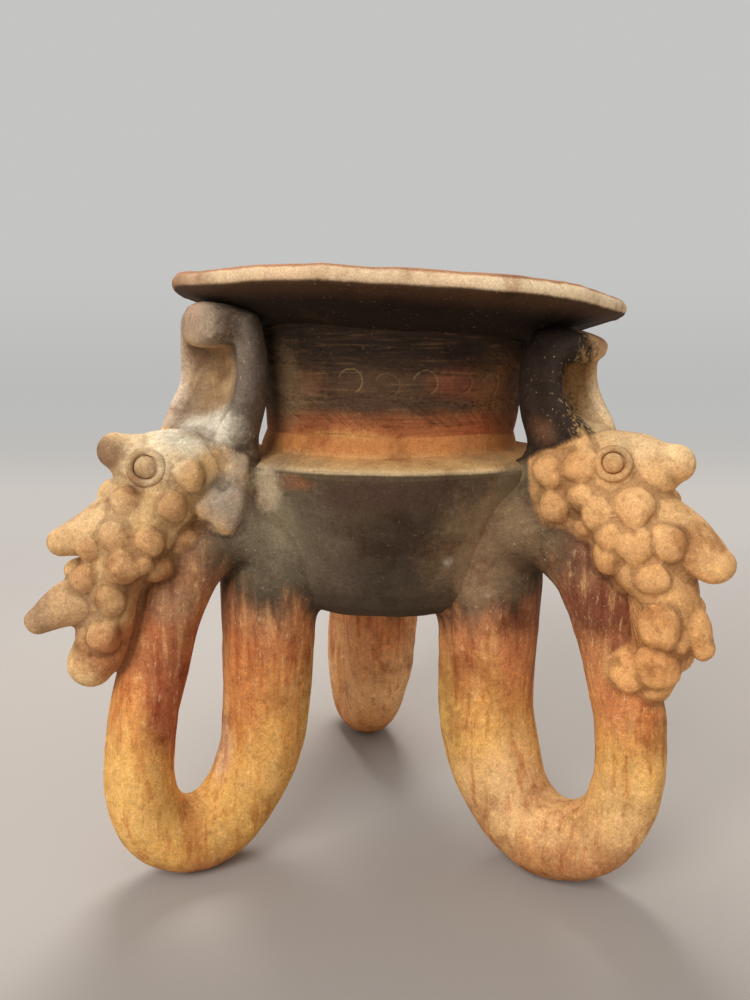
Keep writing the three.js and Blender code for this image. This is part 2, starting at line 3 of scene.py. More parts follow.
import bpy
import numpy as np
from bpy.props import FloatProperty, FloatVectorProperty, IntProperty, PointerProperty
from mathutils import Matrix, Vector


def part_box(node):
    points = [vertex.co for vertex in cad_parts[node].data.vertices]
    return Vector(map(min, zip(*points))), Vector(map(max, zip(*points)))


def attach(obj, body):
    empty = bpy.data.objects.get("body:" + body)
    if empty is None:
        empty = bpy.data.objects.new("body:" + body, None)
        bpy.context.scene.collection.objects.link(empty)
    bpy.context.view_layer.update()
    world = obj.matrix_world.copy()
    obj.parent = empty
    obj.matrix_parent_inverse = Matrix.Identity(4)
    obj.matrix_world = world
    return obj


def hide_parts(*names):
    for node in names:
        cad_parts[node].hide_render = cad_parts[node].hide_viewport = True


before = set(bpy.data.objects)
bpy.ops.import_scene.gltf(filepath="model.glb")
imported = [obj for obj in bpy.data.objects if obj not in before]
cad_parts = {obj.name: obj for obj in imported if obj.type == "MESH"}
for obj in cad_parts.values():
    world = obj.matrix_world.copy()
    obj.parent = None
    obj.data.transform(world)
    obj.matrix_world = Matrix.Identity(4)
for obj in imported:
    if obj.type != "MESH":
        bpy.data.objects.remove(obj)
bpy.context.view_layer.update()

bl_info = {
    "name": "Terracotta tripod vessel",
    "version": (1, 0, 0),
    "blender": (4, 5, 0),
    "location": "View3D > Sidebar > Vessel",
    "description": "Builds a hand-made fired clay bowl on looped legs with modelled heads and crests",
    "category": "Add Mesh",
}

BASE_LOW, BASE_HIGH = (np.array(corner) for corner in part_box("base_disc"))
AXIS = (BASE_LOW + BASE_HIGH)[:2] / 2

# Outlines of the bowl as shares, from the first corner of each zone to its second: (out, up)
BELLY = [(0.24, 0.025), (0.42, 0.10), (0.55, 0.21), (0.67, 0.39), (0.81, 0.62), (0.94, 0.85), (1, 0.96)]
LEDGE = [(0.04, 0.06), (0.15, 0.25), (0.52, 0.60), (0.88, 0.88)]
NECK = [(0.04, 0.14), (0.27, 0.42), (0.60, 0.74), (1, 1)]
UNDERSIDE = [(0.10, 0.10), (0.42, 0.45), (0.76, 0.78), (1, 1)]

# Loops as shares of the leg's reach, of the loop's rise and of the roll's half: (out, up, depth, width).
# Where a height is None, the roll rests on the floor.
LEFT_LOOP = [
    (0.50, 0.96, 0.90, 1.40), (0.515, 0.80, 1.00, 1.25), (0.52, 0.61, 1.00, 1.03), (0.535, 0.44, 0.95, 0.95),
    (0.563, 0.305, 0.90, 0.90), (0.625, 0.20, 0.84, 0.84), (0.71, 0.13, 0.80, 0.80),
    (0.82, None, 0.765, 0.765), (0.92, 0.135, 0.75, 0.75), (0.98, 0.215, 0.73, 0.73),
    (1.00, 0.32, 0.71, 0.71), (0.975, 0.48, 0.685, 0.685), (0.93, 0.61, 0.685, 0.685),
    (0.88, 0.745, 0.68, 0.70), (0.815, 0.87, 0.73, 0.80), (0.69, 0.96, 0.82, 1.00),
    (0.54, 0.97, 0.90, 1.25),
]
RIGHT_LOOP = [
    (0.46, 0.96, 0.92, 1.40), (0.44, 0.80, 1.02, 1.25), (0.435, 0.61, 1.02, 1.05), (0.435, 0.44, 1.00, 1.00),
    (0.46, 0.32, 0.975, 0.975), (0.515, 0.21, 0.92, 0.92), (0.60, 0.14, 0.88, 0.88),
    (0.70, None, 0.85, 0.85), (0.80, 0.118, 0.81, 0.81), (0.89, 0.158, 0.77, 0.77),
    (0.96, 0.225, 0.725, 0.725), (1.00, 0.345, 0.69, 0.69), (0.99, 0.48, 0.69, 0.69),
    (0.955, 0.61, 0.69, 0.70), (0.905, 0.745, 0.69, 0.725), (0.835, 0.88, 0.74, 0.82),
    (0.69, 0.98, 0.83, 1.02), (0.53, 1.00, 0.88, 1.25),
]
BRIDGE_COUNT = 4

# Lobes of a head as shares of its length, height and thickness from its root: (out, up, deep, wide)
LEFT_LOBES = [
    [(0.00, 0.86, 0.14, 0.45), (0.06, 0.70, 0.13, 0.44)],
    [(0.05, 0.83, 0.15, 0.38), (0.18, 0.84, 0.17, 0.475), (0.30, 0.83, 0.17, 0.475)],
    [(0.30, 0.79, 0.16, 0.475), (0.40, 0.68, 0.17, 0.50), (0.49, 0.56, 0.16, 0.50),
     (0.575, 0.43, 0.125, 0.425), (0.61, 0.26, 0.12, 0.375)],
    [(0.35, 0.85, 0.10, 0.40), (0.425, 0.865, 0.085, 0.39)],
    [(0.325, 0.85, 0.15, 0.375), (0.44, 0.89, 0.105, 0.29), (0.525, 0.923, 0.07, 0.20)],
    [(0.40, 0.68, 0.16, 0.425), (0.625, 0.63, 0.10, 0.30), (0.79, 0.60, 0.055, 0.175)],
    [(0.575, 0.37, 0.11, 0.325), (0.775, 0.355, 0.09, 0.25), (0.92, 0.305, 0.05, 0.15)],
    [(0.60, 0.27, 0.115, 0.35), (0.64, 0.16, 0.11, 0.325), (0.69, 0.105, 0.095, 0.275)],
]
RIGHT_LOBES = [
    [(0.00, 0.85, 0.135, 0.45), (0.09, 0.70, 0.125, 0.44)],
    [(0.03, 0.81, 0.15, 0.40), (0.18, 0.83, 0.16, 0.475), (0.34, 0.83, 0.16, 0.475)],
    [(0.34, 0.79, 0.155, 0.475), (0.44, 0.68, 0.16, 0.50), (0.54, 0.56, 0.145, 0.50),
     (0.66, 0.44, 0.10, 0.40), (0.68, 0.31, 0.11, 0.375)],
    [(0.31, 0.857, 0.105, 0.425), (0.41, 0.88, 0.086, 0.40)],
    [(0.40, 0.85, 0.143, 0.375), (0.56, 0.87, 0.11, 0.30), (0.66, 0.89, 0.067, 0.20)],
    [(0.47, 0.68, 0.152, 0.425), (0.72, 0.624, 0.105, 0.325), (0.89, 0.557, 0.067, 0.20)],
    [(0.69, 0.35, 0.105, 0.30), (0.79, 0.32, 0.076, 0.225), (0.863, 0.257, 0.043, 0.15)],
    [(0.66, 0.31, 0.105, 0.325), (0.61, 0.19, 0.10, 0.30), (0.566, 0.12, 0.095, 0.275)],
]

# Pellets on one flank as shares of the head's length, its height and the pellet size: (out, up, size)
LEFT_PELLETS = [
    (0.52, 0.76, 0.83), (0.025, 0.695, 1.50), (0.585, 0.63, 0.83), (0.43, 0.605, 0.84), (0.256, 0.59, 1.11),
    (0.56, 0.513, 0.98), (0.71, 0.46, 0.91), (0.32, 0.73, 0.84), (0.62, 0.393, 0.92), (0.13, 0.73, 0.92),
    (0.384, 0.486, 0.85), (0.65, 0.243, 0.93), (0.68, 0.57, 0.71), (0.475, 0.52, 0.65), (0.24, 0.84, 0.80),
]
RIGHT_PELLETS = [
    (0.075, 0.72, 0.97), (0.335, 0.72, 1.00), (0.525, 0.744, 1.12), (0.385, 0.568, 1.02), (0.69, 0.635, 1.06),
    (0.678, 0.347, 1.21), (0.509, 0.166, 1.31), (0.657, 0.20, 1.29), (0.649, 0.518, 0.875),
    (0.55, 0.624, 0.94), (0.23, 0.88, 0.95), (0.056, 0.85, 0.97),
    (0.237, 0.768, 0.83), (0.226, 0.66, 0.83), (0.407, 0.648, 0.83),
]

# Crests as shares of the lip line's distance, of the crest's height, its depth and half width:
# (out, up, depth, width), and the channel's depth at shares of its height
LEFT_CREST = [
    (1.09, 0, 0.96, 0.80), (1.115, 0.15, 1.16, 0.86), (1.10, 0.27, 1.22, 0.90), (1.06, 0.36, 1.12, 0.95),
    (1.015, 0.47, 1.02, 1.00), (1.00, 0.57, 1.00, 1.00), (1.00, 0.77, 0.96, 1.00), (1.00, 0.90, 0.86, 0.95),
]
RIGHT_CREST = [
    (1.09, 0, 0.92, 0.80), (1.13, 0.17, 1.16, 0.86), (1.11, 0.30, 1.24, 0.90), (1.06, 0.41, 1.10, 0.95),
    (1.015, 0.53, 0.97, 1.00), (1.00, 0.66, 0.90, 1.00), (1.01, 0.78, 0.82, 0.96), (1.03, 0.85, 0.70, 0.88),
]
CHANNEL_UP = (0, 0.22, 0.30, 0.38, 0.48, 0.58, 0.78, 0.83, 1)
CHANNEL_DEEP = (-0.10, -0.10, 0.02, 0.13, 0.21, 0.25, 0.24, -0.10, -0.10)

# Each leg's plane (heading in degrees, metres beside the axis), its sizes in metres and what it carries
SIDES = {
    "left": dict(
        azimuth=207.6, beside=0.0, reach=0.119, loop=LEFT_LOOP, root=0.080, base=0.087, length=0.080,
        tall=0.100, lobes=LEFT_LOBES, eye=(0.425, 0.87), pellets=LEFT_PELLETS, own={"a": 9, "b": 4},
        shown={"a": 15, "b": 10}, crest_tall=0.067, crest=LEFT_CREST, lips=(-0.0115, 0.0034),
        flank_a=1, seed=11,
    ),
    "right": dict(
        azimuth=323.4, beside=0.0, reach=0.1135, loop=RIGHT_LOOP, root=0.080, base=0.083, length=0.068,
        tall=0.105, lobes=RIGHT_LOBES, eye=(0.407, 0.892), pellets=RIGHT_PELLETS, own={"a": 9, "b": 4},
        shown={"a": 15, "b": 10}, crest_tall=0.057, crest=RIGHT_CREST, lips=(-0.001, -0.002),
        flank_a=-1, seed=23,
    ),
    "rear": dict(
        azimuth=109.0, beside=-0.015, reach=0.116, loop=LEFT_LOOP, root=0.080, base=0.086, length=0.072,
        tall=0.101, lobes=LEFT_LOBES, eye=(0.425, 0.87), pellets=LEFT_PELLETS, own={"a": 4, "b": 4},
        shown={"a": 10, "b": 10}, crest_tall=0.061, crest=LEFT_CREST, lips=(-0.0034, 0.0034),
        flank_a=1, seed=37,
    ),
}


# The slots of each head and crest
HEAD_SLOTS = {"left": "cream_head_clay", "right": "tan_head_clay", "rear": "orange_head_clay"}
CREST_SLOTS = {"left": "grey_crest_clay", "right": "blackened_crest_clay", "rear": "blackened_crest_clay"}

# How the clay is worked, in metres. A fade is (where it starts, the width it takes).
HAND_WAVES = ((0.00040, 0.060), (0.00012, 0.022), (0.00005, 0.009))    # (size, length)
FULL_HOLLOW = 0.00009
BOWL_STEP, NECK_STEP, LIP_STEPS = 0.0011, 0.0006, 11
WEDGE_HEART, WEDGE_SHRINK = 0.004, 0.06
ROLL_FADE, LEDGE_FADE = (-0.012, 0.005), (0.062, 0.006)
HEAD_FADE, CREST_FADE = (-0.081, 0.006), (0.174, 0.010)
LEDGE_DROP, HEAD_LEVEL, FOOT_FADE, CREST_SMEAR_END = 0.003, 0.120, 0.012, 0.100
SHARP = math.radians(50)

# Pellets: thickness and bedding as shares of the radius, how far they swell when fused as a piece of
# their own or as part of the head, how far an own one reaches, and their unevenness
PELLET_FLAT, PELLET_SUNK, OWN_SWELL, SHOWN_SWELL, OWN_REACH = 0.74, 0.1, 1.10, 1.18, 1.20
PELLET_WAVE, PELLET_UNEVEN, PELLET_EDGE, SLOPE_REACH, EYE_FLAT = 0.009, 0.045, 0.0012, 0.002, 0.8

# Crests: the roundness of the lips, how the channel deepens to one side, and the line (out, up) from
# which a crest parts from its head, with its slope and its end; where the wall takes over from the leg
LIP_ROUND, CHANNEL_SLANT = 0.7, 0.65
CREST_FOOT, CREST_SLOPE, CREST_END, WALL_SHARE = (0.070, 0.176), 0.42, 0.112, 0.0035

# The neck's band: its mean radius and share of the rim's tilt, then the stamped rings and the rows of
# strokes as (low, high, slant, count)
BAND_RADIUS, BAND_TILT = 0.0575, 0.55
BAND_LENGTH = BAND_RADIUS * 2 * math.pi
RING_COUNT, RING_FIRST, RING_HEIGHT, RING_SLIP = 25, 251.7, 0.2050, 0.0006
RING_RADIUS, RING_LINE, RING_DEPTH = 0.0047, 0.00036, 0.00045
STROKE_LINE, STROKE_DEPTH = 0.00022, 0.0003
STROKE_ROWS = ((0.1885, 0.1985, -1.5, 130), (0.2115, 0.2190, -1.9, 90),
               (0.1960, 0.2010, -6.0, 40), (0.2080, 0.2130, -7.0, 36))

# The stage in metres: the floor and its bend, lights as (name, size, place, aim), and the camera
FLOOR_NEAR, FLOOR_HALF, BEND_START, BEND_RADIUS, BACKDROP_TOP = -2.5, 3.0, 1.1, 0.7, 3.2
LIGHTS = (
    ("key", 0.60, (-0.10, 0.60, 1.15), (0, 0, 0.12)),
    ("fill", 0.8, (-0.55, -1.15, 0.95), (0, 0, 0.15)),
)
CAMERA, CAMERA_DOWN, LENS = (-0.0088, -0.373, 0.2104), 8.9, 29.88


# Number work shared by the pieces

def unit(vectors):
    """Each vector divided by its length"""
    return vectors / np.maximum(np.linalg.norm(vectors, axis=-1, keepdims=True), 1e-12)


def full_turn(count):
    """Angles evenly round a circle"""
    return np.arange(count) * 2 * math.pi / count


def rising(values, start, width):
    """Nothing up to a start, then a straight rise to one over a width"""
    return ((values - start) / width).clip(0, 1)


def wobble(points, wavelength, seed, waves=18):
    """Smooth noise of about unit size: the scaled sum of sine waves of one wavelength,
    each with a seeded direction and phase"""
    dice = np.random.default_rng(seed)
    ways = unit(dice.normal(size=(waves, 3))) * (2 * math.pi / wavelength)
    phases = dice.uniform(0, 2 * math.pi, waves)
    return np.sin(points @ ways.T + phases).sum(1) * math.sqrt(2 / waves)


def hand_made(points):
    """How far the potter's hands moved each point: in each direction waves of three lengths"""
    return np.stack([sum(size * wobble(points, length, 3 * axis + place)
                         for place, (size, length) in enumerate(HAND_WAVES)) for axis in range(3)], 1)


def smooth_path(stations, count):
    """A curve through stations: cubic Hermite pieces whose knots are spaced by the square root of
    the distance in the first two columns, with slopes from the neighbouring stations"""
    s = np.asarray(stations, float)
    knots = np.concatenate([[0], np.cumsum(np.sqrt(np.linalg.norm(np.diff(s[:, :2], axis=0), axis=1)))])
    slope = np.gradient(s, knots, axis=0)
    t = np.linspace(0, knots[-1], count)
    k = np.clip(np.searchsorted(knots, t, side="right") - 1, 0, len(knots) - 2)
    h = (knots[k + 1] - knots[k])[:, None]
    u = (t - knots[k])[:, None] / h
    return ((2 * u**3 - 3 * u**2 + 1) * s[k] + (u**3 - 2 * u**2 + u) * h * slope[k]
            + (3 * u**2 - 2 * u**3) * s[k + 1] + (u**3 - u**2) * h * slope[k + 1])


def stepped(line, parts):
    """A line with each stretch cut in equal parts, by one count or one for each stretch"""
    counts = np.broadcast_to(parts, len(line) - 1)
    return np.concatenate([a + (b - a) * np.linspace(0, 1, n, endpoint=False)[:, None]
                           for a, b, n in zip(line[:-1], line[1:], counts)] + [line[-1:]])


def spun(line, angles):
    """A line of (radius, height) turned about the axis: (r * cos(a), r * sin(a), z), with rows along
    the line and columns round the axis"""
    return np.stack([np.outer(line[:, 0], np.cos(angles)), np.outer(line[:, 0], np.sin(angles)),
                     np.outer(line[:, 1], np.ones(len(angles)))], -1)


def grid_faces(rows, columns, close_rows=False):
    """Quads of a grid whose columns close on themselves, and its rows too if asked"""
    row, column = np.meshgrid(np.arange(rows if close_rows else rows - 1), np.arange(columns), indexing="ij")
    up, side = (row + 1) % rows, (column + 1) % columns
    return np.stack([row * columns + column, row * columns + side, up * columns + side,
                     up * columns + column], -1).reshape(-1, 4)


def capped(rings):
    """A tube of rings with a point at the middle of each end ring, as points and faces"""
    rows, columns = rings.shape[:2]
    points = np.concatenate([rings.reshape(-1, 3), rings[0].mean(0)[None], rings[-1].mean(0)[None]])
    side = np.arange(columns)
    after = (side + 1) % columns
    low, high = np.full(columns, rows * columns), np.full(columns, rows * columns + 1)
    top = (rows - 1) * columns
    faces = grid_faces(rows, columns).tolist()
    faces += np.stack([low, after, side], 1).tolist()
    faces += np.stack([high, top + side, top + after], 1).tolist()
    return points, faces


def swept_frames(path):
    """Centre, direction, outward and sideways vectors along a path in the plane y = 0"""
    centre = np.stack([path[:, 0], np.zeros(len(path)), path[:, 1]], 1)
    along = unit(np.gradient(centre, axis=0))
    outward = np.stack([along[:, 2], np.zeros(len(path)), -along[:, 0]], 1)
    return centre, along, outward, np.array([0.0, 1.0, 0.0])


def clay_roll(stations, dome, front=1.0, rings=48, sides=36):
    """A roll of clay: over the path of its stations (out, up, half depth, half width) stands the
    ellipse centre + outward * depth * cos(a) + sideways * width * sin(a). Past each end it shrinks
    as cos(b) while it moves on by dome * depth * sin(b). Front flattens its outward half."""
    path = smooth_path(stations, rings)
    centre, along, outward, sideways = swept_frames(path)
    turn = np.linspace(0, math.pi / 2, 8)[1:]
    row = np.concatenate([np.zeros(7, int), np.arange(rings), np.full(7, rings - 1)])
    lift = np.concatenate([-np.sin(turn[::-1]), np.zeros(rings), np.sin(turn)]) * dome * path[row, 2]
    shrink = np.concatenate([np.cos(turn[::-1]), np.ones(rings), np.cos(turn)]).clip(0.02)
    a = full_turn(sides)
    depth = path[row, 2, None] * shrink[:, None] * np.cos(a) * np.where(np.cos(a) > 0, front, 1)
    width = path[row, 3, None] * shrink[:, None] * np.sin(a)
    middle = centre[row] + along[row] * lift[:, None]
    return capped(middle[:, None] + outward[row][:, None] * depth[..., None] + sideways * width[..., None])


def ball(centre, radii, axes, rows=18, columns=26):
    """An ellipsoid: centre + sum over its axes of radius * (cos(v)cos(u), cos(v)sin(u), sin(v))"""
    v = np.linspace(-math.pi / 2, math.pi / 2, rows + 2)[1:-1]
    shape = spun(np.stack([np.cos(v), np.sin(v)], 1), full_turn(columns))
    return capped(centre + (shape * radii) @ axes)


def joined(skins):
    """Several skins as one list of points and one of faces"""
    points, faces, start = [], [], 0
    for skin_points, skin_faces in skins:
        points.append(skin_points)
        faces += [[corner + start for corner in face] for face in skin_faces]
        start += len(skin_points)
    return np.concatenate(points), faces


def around(values, faces):
    """For each point the mean of the values next to it along the faces' edges"""
    total = np.zeros_like(values)
    count = np.zeros(len(values))
    for corner in range(faces.shape[1]):
        here = faces[:, corner]
        for beside in (faces[:, (corner + 1) % faces.shape[1]], faces[:, corner - 1]):
            count += np.bincount(here, minlength=len(values))
            for axis in range(values.shape[1]):
                total[:, axis] += np.bincount(here, values[beside, axis], len(values))
    return total / np.maximum(count, 1)[:, None]


def normals_of(points, faces):
    """Unit normals at the points: the sum over their faces of the cross product of two edges, or of
    the diagonals where a face has four corners"""
    near, far, start = (1, 2, 0) if faces.shape[1] == 3 else (2, 3, 1)
    cross = np.cross(points[faces[:, near]] - points[faces[:, 0]],
                     points[faces[:, far]] - points[faces[:, start]])
    total = np.zeros_like(points)
    for corner in range(faces.shape[1]):
        for axis in range(3):
            total[:, axis] += np.bincount(faces[:, corner], cross[:, axis], len(points))
    return unit(total)


def mesh_of(name, points, faces):
    """A mesh of points and faces, which may be a list or an array"""
    mesh = bpy.data.meshes.new(name)
    mesh.from_pydata(points.tolist(), [], faces if isinstance(faces, list) else faces.tolist())
    return mesh


def finished(name, points, faces, settings, kind):
    """The points, the faces' corners and the triangles that one modifier makes of a skin"""
    mesh = mesh_of(name, points, faces)
    lump = bpy.data.objects.new(name, mesh)
    bpy.context.scene.collection.objects.link(lump)
    modifier = lump.modifiers.new(name, kind)
    for key, value in settings.items():
        setattr(modifier, key, value)
    made = lump.evaluated_get(bpy.context.evaluated_depsgraph_get()).to_mesh()
    made.calc_loop_triangles()
    points = np.empty(len(made.vertices) * 3)
    made.vertices.foreach_get("co", points)
    corners = np.empty(len(made.loops), np.int64)
    made.loops.foreach_get("vertex_index", corners)
    triangles = np.empty(len(made.loop_triangles) * 3, np.int64)
    made.loop_triangles.foreach_get("vertices", triangles)
    bpy.data.objects.remove(lump)
    bpy.data.meshes.remove(mesh)
    return points.reshape(-1, 3), corners, triangles.reshape(-1, 3)


def fused(skins, voxel, passes):
    """One skin round overlapping skins: Blender's voxel remesh, then passes that move each point
    half way to the mean of its neighbours, and nearly as far back out"""
    points, corners, _ = finished("clay", *joined(skins), {"mode": "VOXEL", "voxel_size": voxel}, "REMESH")
    quads = corners.reshape(-1, 4)
    for _ in range(passes):
        points = points + 0.5 * (around(points, quads) - points)
        points = points - 0.48 * (around(points, quads) - points)
    return points, quads


def without(points, faces, cutter):
    """A skin less another one, as points and triangles"""
    knife = bpy.data.objects.new("cutter", mesh_of("cutter", *cutter))
    bpy.context.scene.collection.objects.link(knife)
    settings = {"operation": "DIFFERENCE", "solver": "MANIFOLD", "object": knife}
    points, _, triangles = finished("clay", points, faces, settings, "BOOLEAN")
    bpy.data.meshes.remove(knife.data)
    return points, triangles


def hollows(points, faces):
    """How hollow the clay is at each point, from -1 to 1: the height of the neighbours' mean over
    it along the normal, spread over a few rings"""
    spread = points
    for _ in range(3):
        spread = around(spread, faces)
    height = ((spread - points) * normals_of(points, faces)).sum(1)[:, None]
    return np.clip(around(height, faces)[:, 0] / FULL_HOLLOW, -1, 1)


def grouped(cells, count):
    """The lowest number among the points that hang together with each point: every point takes the
    lowest met across its cells until nothing changes"""
    group = np.arange(count)
    while True:
        lower = group.copy()
        np.minimum.at(lower, cells.ravel(), np.repeat(group[cells].min(1), cells.shape[1]))
        lower = lower[lower]
        if (lower == group).all():
            return group
        group = lower


def main_lump(faces, count):
    """Which faces hang together with the greatest number of others"""
    group = grouped(faces, count)[faces[:, 0]]
    return group == np.bincount(group).argmax()


def closed(points, faces):
    """Triangles with every open loop of edges closed by a fan round its middle"""
    edges = np.concatenate([faces[:, [0, 1]], faces[:, [1, 2]], faces[:, [2, 0]]])
    back = edges[:, 1] * len(points) + edges[:, 0]
    border = edges[~np.isin(edges[:, 0] * len(points) + edges[:, 1], back)]
    group = grouped(border, len(points))[border[:, 0]]
    fans, middles = [], []
    for place, loop in enumerate(np.unique(group)):
        part = border[group == loop]
        middles.append(points[part[:, 0]].mean(0))
        fans.append(np.stack([part[:, 1], part[:, 0], np.full(len(part), len(points) + place)], 1))
    if not fans:
        return points, faces
    return np.concatenate([points, middles]), np.concatenate([faces, *fans])


# The bowl

def sizes(group):
    """One group of the sizes in the scene: bowl, legs, heads or crests"""
    return getattr(bpy.context.scene, "vessel_" + group)


def between(low, high, shares):
    """Points from one corner of the outline to another, by shares of the way out and up"""
    return [(low[0] + (high[0] - low[0]) * out, low[1] + (high[1] - low[1]) * up) for out, up in shares]


def bowl_outlines():
    """The bowl's outside from the middle of its underside to the top of its neck, the flange's
    underside, and the shoulder's corner, all as (radius, height)"""
    b = sizes("bowl")
    shoulder_z = b.lift + b.body_tall
    waist_z = shoulder_z + b.ledge_rise
    joint_z = waist_z + b.neck_tall
    base, shoulder = (b.base_radius, b.lift), (b.shoulder_radius, shoulder_z)
    waist, neck_top = (b.waist_radius, waist_z), (b.neck_top_radius, joint_z)
    lip = (b.lip_radius, joint_z + b.flange_rise)
    return {
        "floor": [(0.0, b.lift), base],
        "belly": between(base, shoulder, BELLY),
        "ledge": between(shoulder, waist, LEDGE),
        "neck": between(waist, neck_top, NECK),
        "flange": [neck_top, *between(neck_top, lip, UNDERSIDE)],
        "shoulder": shoulder,
    }


def offset(outline, distance):
    """An outline moved to its left by a distance, with the corners mitred as far as 60 degrees"""
    line = np.asarray(outline, float)
    step = unit(np.diff(line, axis=0))
    arriving = np.concatenate([step[:1], step])
    leaving = np.concatenate([step, step[-1:]])
    side = unit(np.stack([-(arriving + leaving)[:, 1], (arriving + leaving)[:, 0]], 1))
    share = (side * np.stack([-leaving[:, 1], leaving[:, 0]], 1)).sum(1).clip(0.5)
    return line + side * (np.asarray(distance) / share)[..., None]


def lean(points):
    """The hand-built lean: the neck's foot and the rim stand off the axis, and a height falls by
    x * tan(tilt) more and more on the way up the neck"""
    b = sizes("bowl")
    above = points[:, 2] - (b.lift + b.body_tall)
    rise = rising(above, 0, b.ledge_rise)
    climb = rising(above, b.ledge_rise, b.neck_tall)
    leant = points.copy()
    leant[:, 0] += b.neck_shift * (rise - climb) + b.rim_shift * climb
    leant[:, 2] -= points[:, 0] * math.tan(b.rim_tilt) * climb
    return leant


def upright(points):
    """Undoes the lean, closely enough to measure a distance from the bowl"""
    moved = lean(points) - points
    return points - (lean(points - moved) - (points - moved))


def skin_outline():
    """The whole outside of the bowl, flange and lip, as a closely stepped line of (radius, height)"""
    o = bowl_outlines()
    turn = np.linspace(-math.pi / 2, math.pi / 2, LIP_STEPS + 1)
    half = sizes("bowl").flange_thick / 2
    lip_r, lip_z = o["flange"][-1]
    rounded = [(lip_r + half * math.cos(t), lip_z + half + half * math.sin(t)) for t in turn[1:]]
    return np.array([*o["floor"], *o["belly"], *o["ledge"], *o["neck"], *o["flange"][1:], *rounded])


def bowl_distance(points):
    """How far points, given about the bowl's axis, lie outside its filled form: the distance to the
    nearest stretch of its outline, with the sign of that stretch's side"""
    line = skin_outline()
    flat = upright(points)
    p = np.stack([np.hypot(flat[:, 0], flat[:, 1]), flat[:, 2]], 1)
    best = np.full(len(p), np.inf)
    signed = np.zeros(len(p))
    for start, end in zip(line[:-1], line[1:]):
        way = end - start
        share = (((p - start) @ way) / (way @ way)).clip(0, 1)
        gap = p - start - share[:, None] * way
        reach = np.linalg.norm(gap, axis=1)
        closer = reach < best - 1e-9
        best = np.where(closer, reach, best)
        signed = np.where(closer, reach * np.sign(way[1] * gap[:, 0] - way[0] * gap[:, 1]), signed)
    return signed


def revolved(outline, sides, step):
    """A closed outline of (radius, height), stepped finely, turned about the axis and leant, with rows
    round the outline and columns round the axis"""
    line = np.asarray([*outline, outline[0]], float)
    lengths = np.linalg.norm(np.diff(line, axis=0), axis=1)
    fine = stepped(line, np.maximum((lengths / step).astype(int), 1))[:-1]
    return lean(spun(fine, full_turn(sides)).reshape(-1, 3)), grid_faces(len(fine), sides, close_rows=True)


def bowl_core():
    """The bowl's filled form a little inside its skin, closed over its mouth"""
    line = offset(skin_outline(), sizes("legs").bedded)
    line[0, 0] = 0
    points, faces = capped(spun(stepped(line, 6)[1:], full_turn(160)))
    return lean(points), faces


def bowl_wedge(side):
    """The bowl's filled form behind a leg: its outline up to the ledge, a little inside its skin and
    closed near the axis, carried round the axis as far as the smeared clay may reach, where its
    radius falls by a share of the eighth power of the way there"""
    legs = sizes("legs")
    o = bowl_outlines()
    line = offset([*o["floor"], *o["belly"], *o["ledge"]], legs.sunk)
    line[0, 0] = WEDGE_HEART
    line = np.concatenate([stepped(line, 5), [(WEDGE_HEART, line[-1, 1])]])
    way = np.linspace(-1, 1, 61)
    turn = math.radians(side["azimuth"]) + way * legs.wedge_turn
    shrunk = 1 - WEDGE_SHRINK * way**8
    rings = np.stack([np.outer(np.cos(turn) * shrunk, line[:, 0]),
                      np.outer(np.sin(turn) * shrunk, line[:, 0]),
                      np.outer(np.ones(len(way)), line[:, 1])], -1)
    points, faces = capped(rings[:, ::-1])
    return lean(points), faces


def on_band(points, normals):
    """Where points lie on the neck's band: along its girth, up it, and whether on its outer face"""
    along = np.arctan2(points[:, 1], points[:, 0]) % (2 * math.pi) * BAND_RADIUS
    up = points[:, 2] + points[:, 0] * math.tan(sizes("bowl").rim_tilt) * BAND_TILT
    outer = (normals[:, :2] * points[:, :2]).sum(1) > 0.3 * np.hypot(points[:, 0], points[:, 1])
    return along, up, outer


def beside(along, middle):
    """How far round the band points lie from a middle, the shorter way"""
    return (along - middle + BAND_LENGTH / 2) % BAND_LENGTH - BAND_LENGTH / 2


def band_rings(points, normals):
    """How deep the row of open rings is stamped at each point: circles of one radius, each left open
    at its lower left, with the bell curve of gap / width across the line"""
    along, up, outer = on_band(points, normals)
    cut = np.zeros(len(points))
    dice = np.random.default_rng(4)
    for place in range(RING_COUNT):
        across = beside(along, math.radians(RING_FIRST + 360 / RING_COUNT * place) * BAND_RADIUS)
        height = up - RING_HEIGHT - dice.uniform(-RING_SLIP, RING_SLIP)
        ring = np.hypot(across, height * dice.uniform(0.95, 1.12)) - RING_RADIUS
        pressed = dice.uniform(0.35, 1.0)
        turned = np.arctan2(height, across)
        line = np.exp(-(ring / RING_LINE) ** 2)
        cut = np.maximum(cut, pressed * line * ((turned > -1.3) & (turned < 2.9)))
    return cut * outer


def band_strokes(points, normals):
    """How deep fine slanting strokes are scratched at each point, in rows over and under the rings,
    crossed by longer and flatter ones, with the bell curve of gap / width across each"""
    along, up, outer = on_band(points, normals)
    cut = np.zeros(len(points))
    dice = np.random.default_rng(5)
    for low, high, slant, count in STROKE_ROWS:
        for start in dice.uniform(0, BAND_LENGTH, count):
            tip = slant * dice.uniform(0.7, 1.3)
            gap = np.abs(beside(along - start, (up - low) * tip)) / math.hypot(1, tip)
            cut = np.maximum(cut, np.exp(-(gap / STROKE_LINE) ** 2) * ((up > low) & (up < high)))
    return cut * outer


# The legs, heads and crests

def at_axis(points):
    """Points about the bowl's axis moved to their place in the frame"""
    return points + np.array([*AXIS, 0.0])


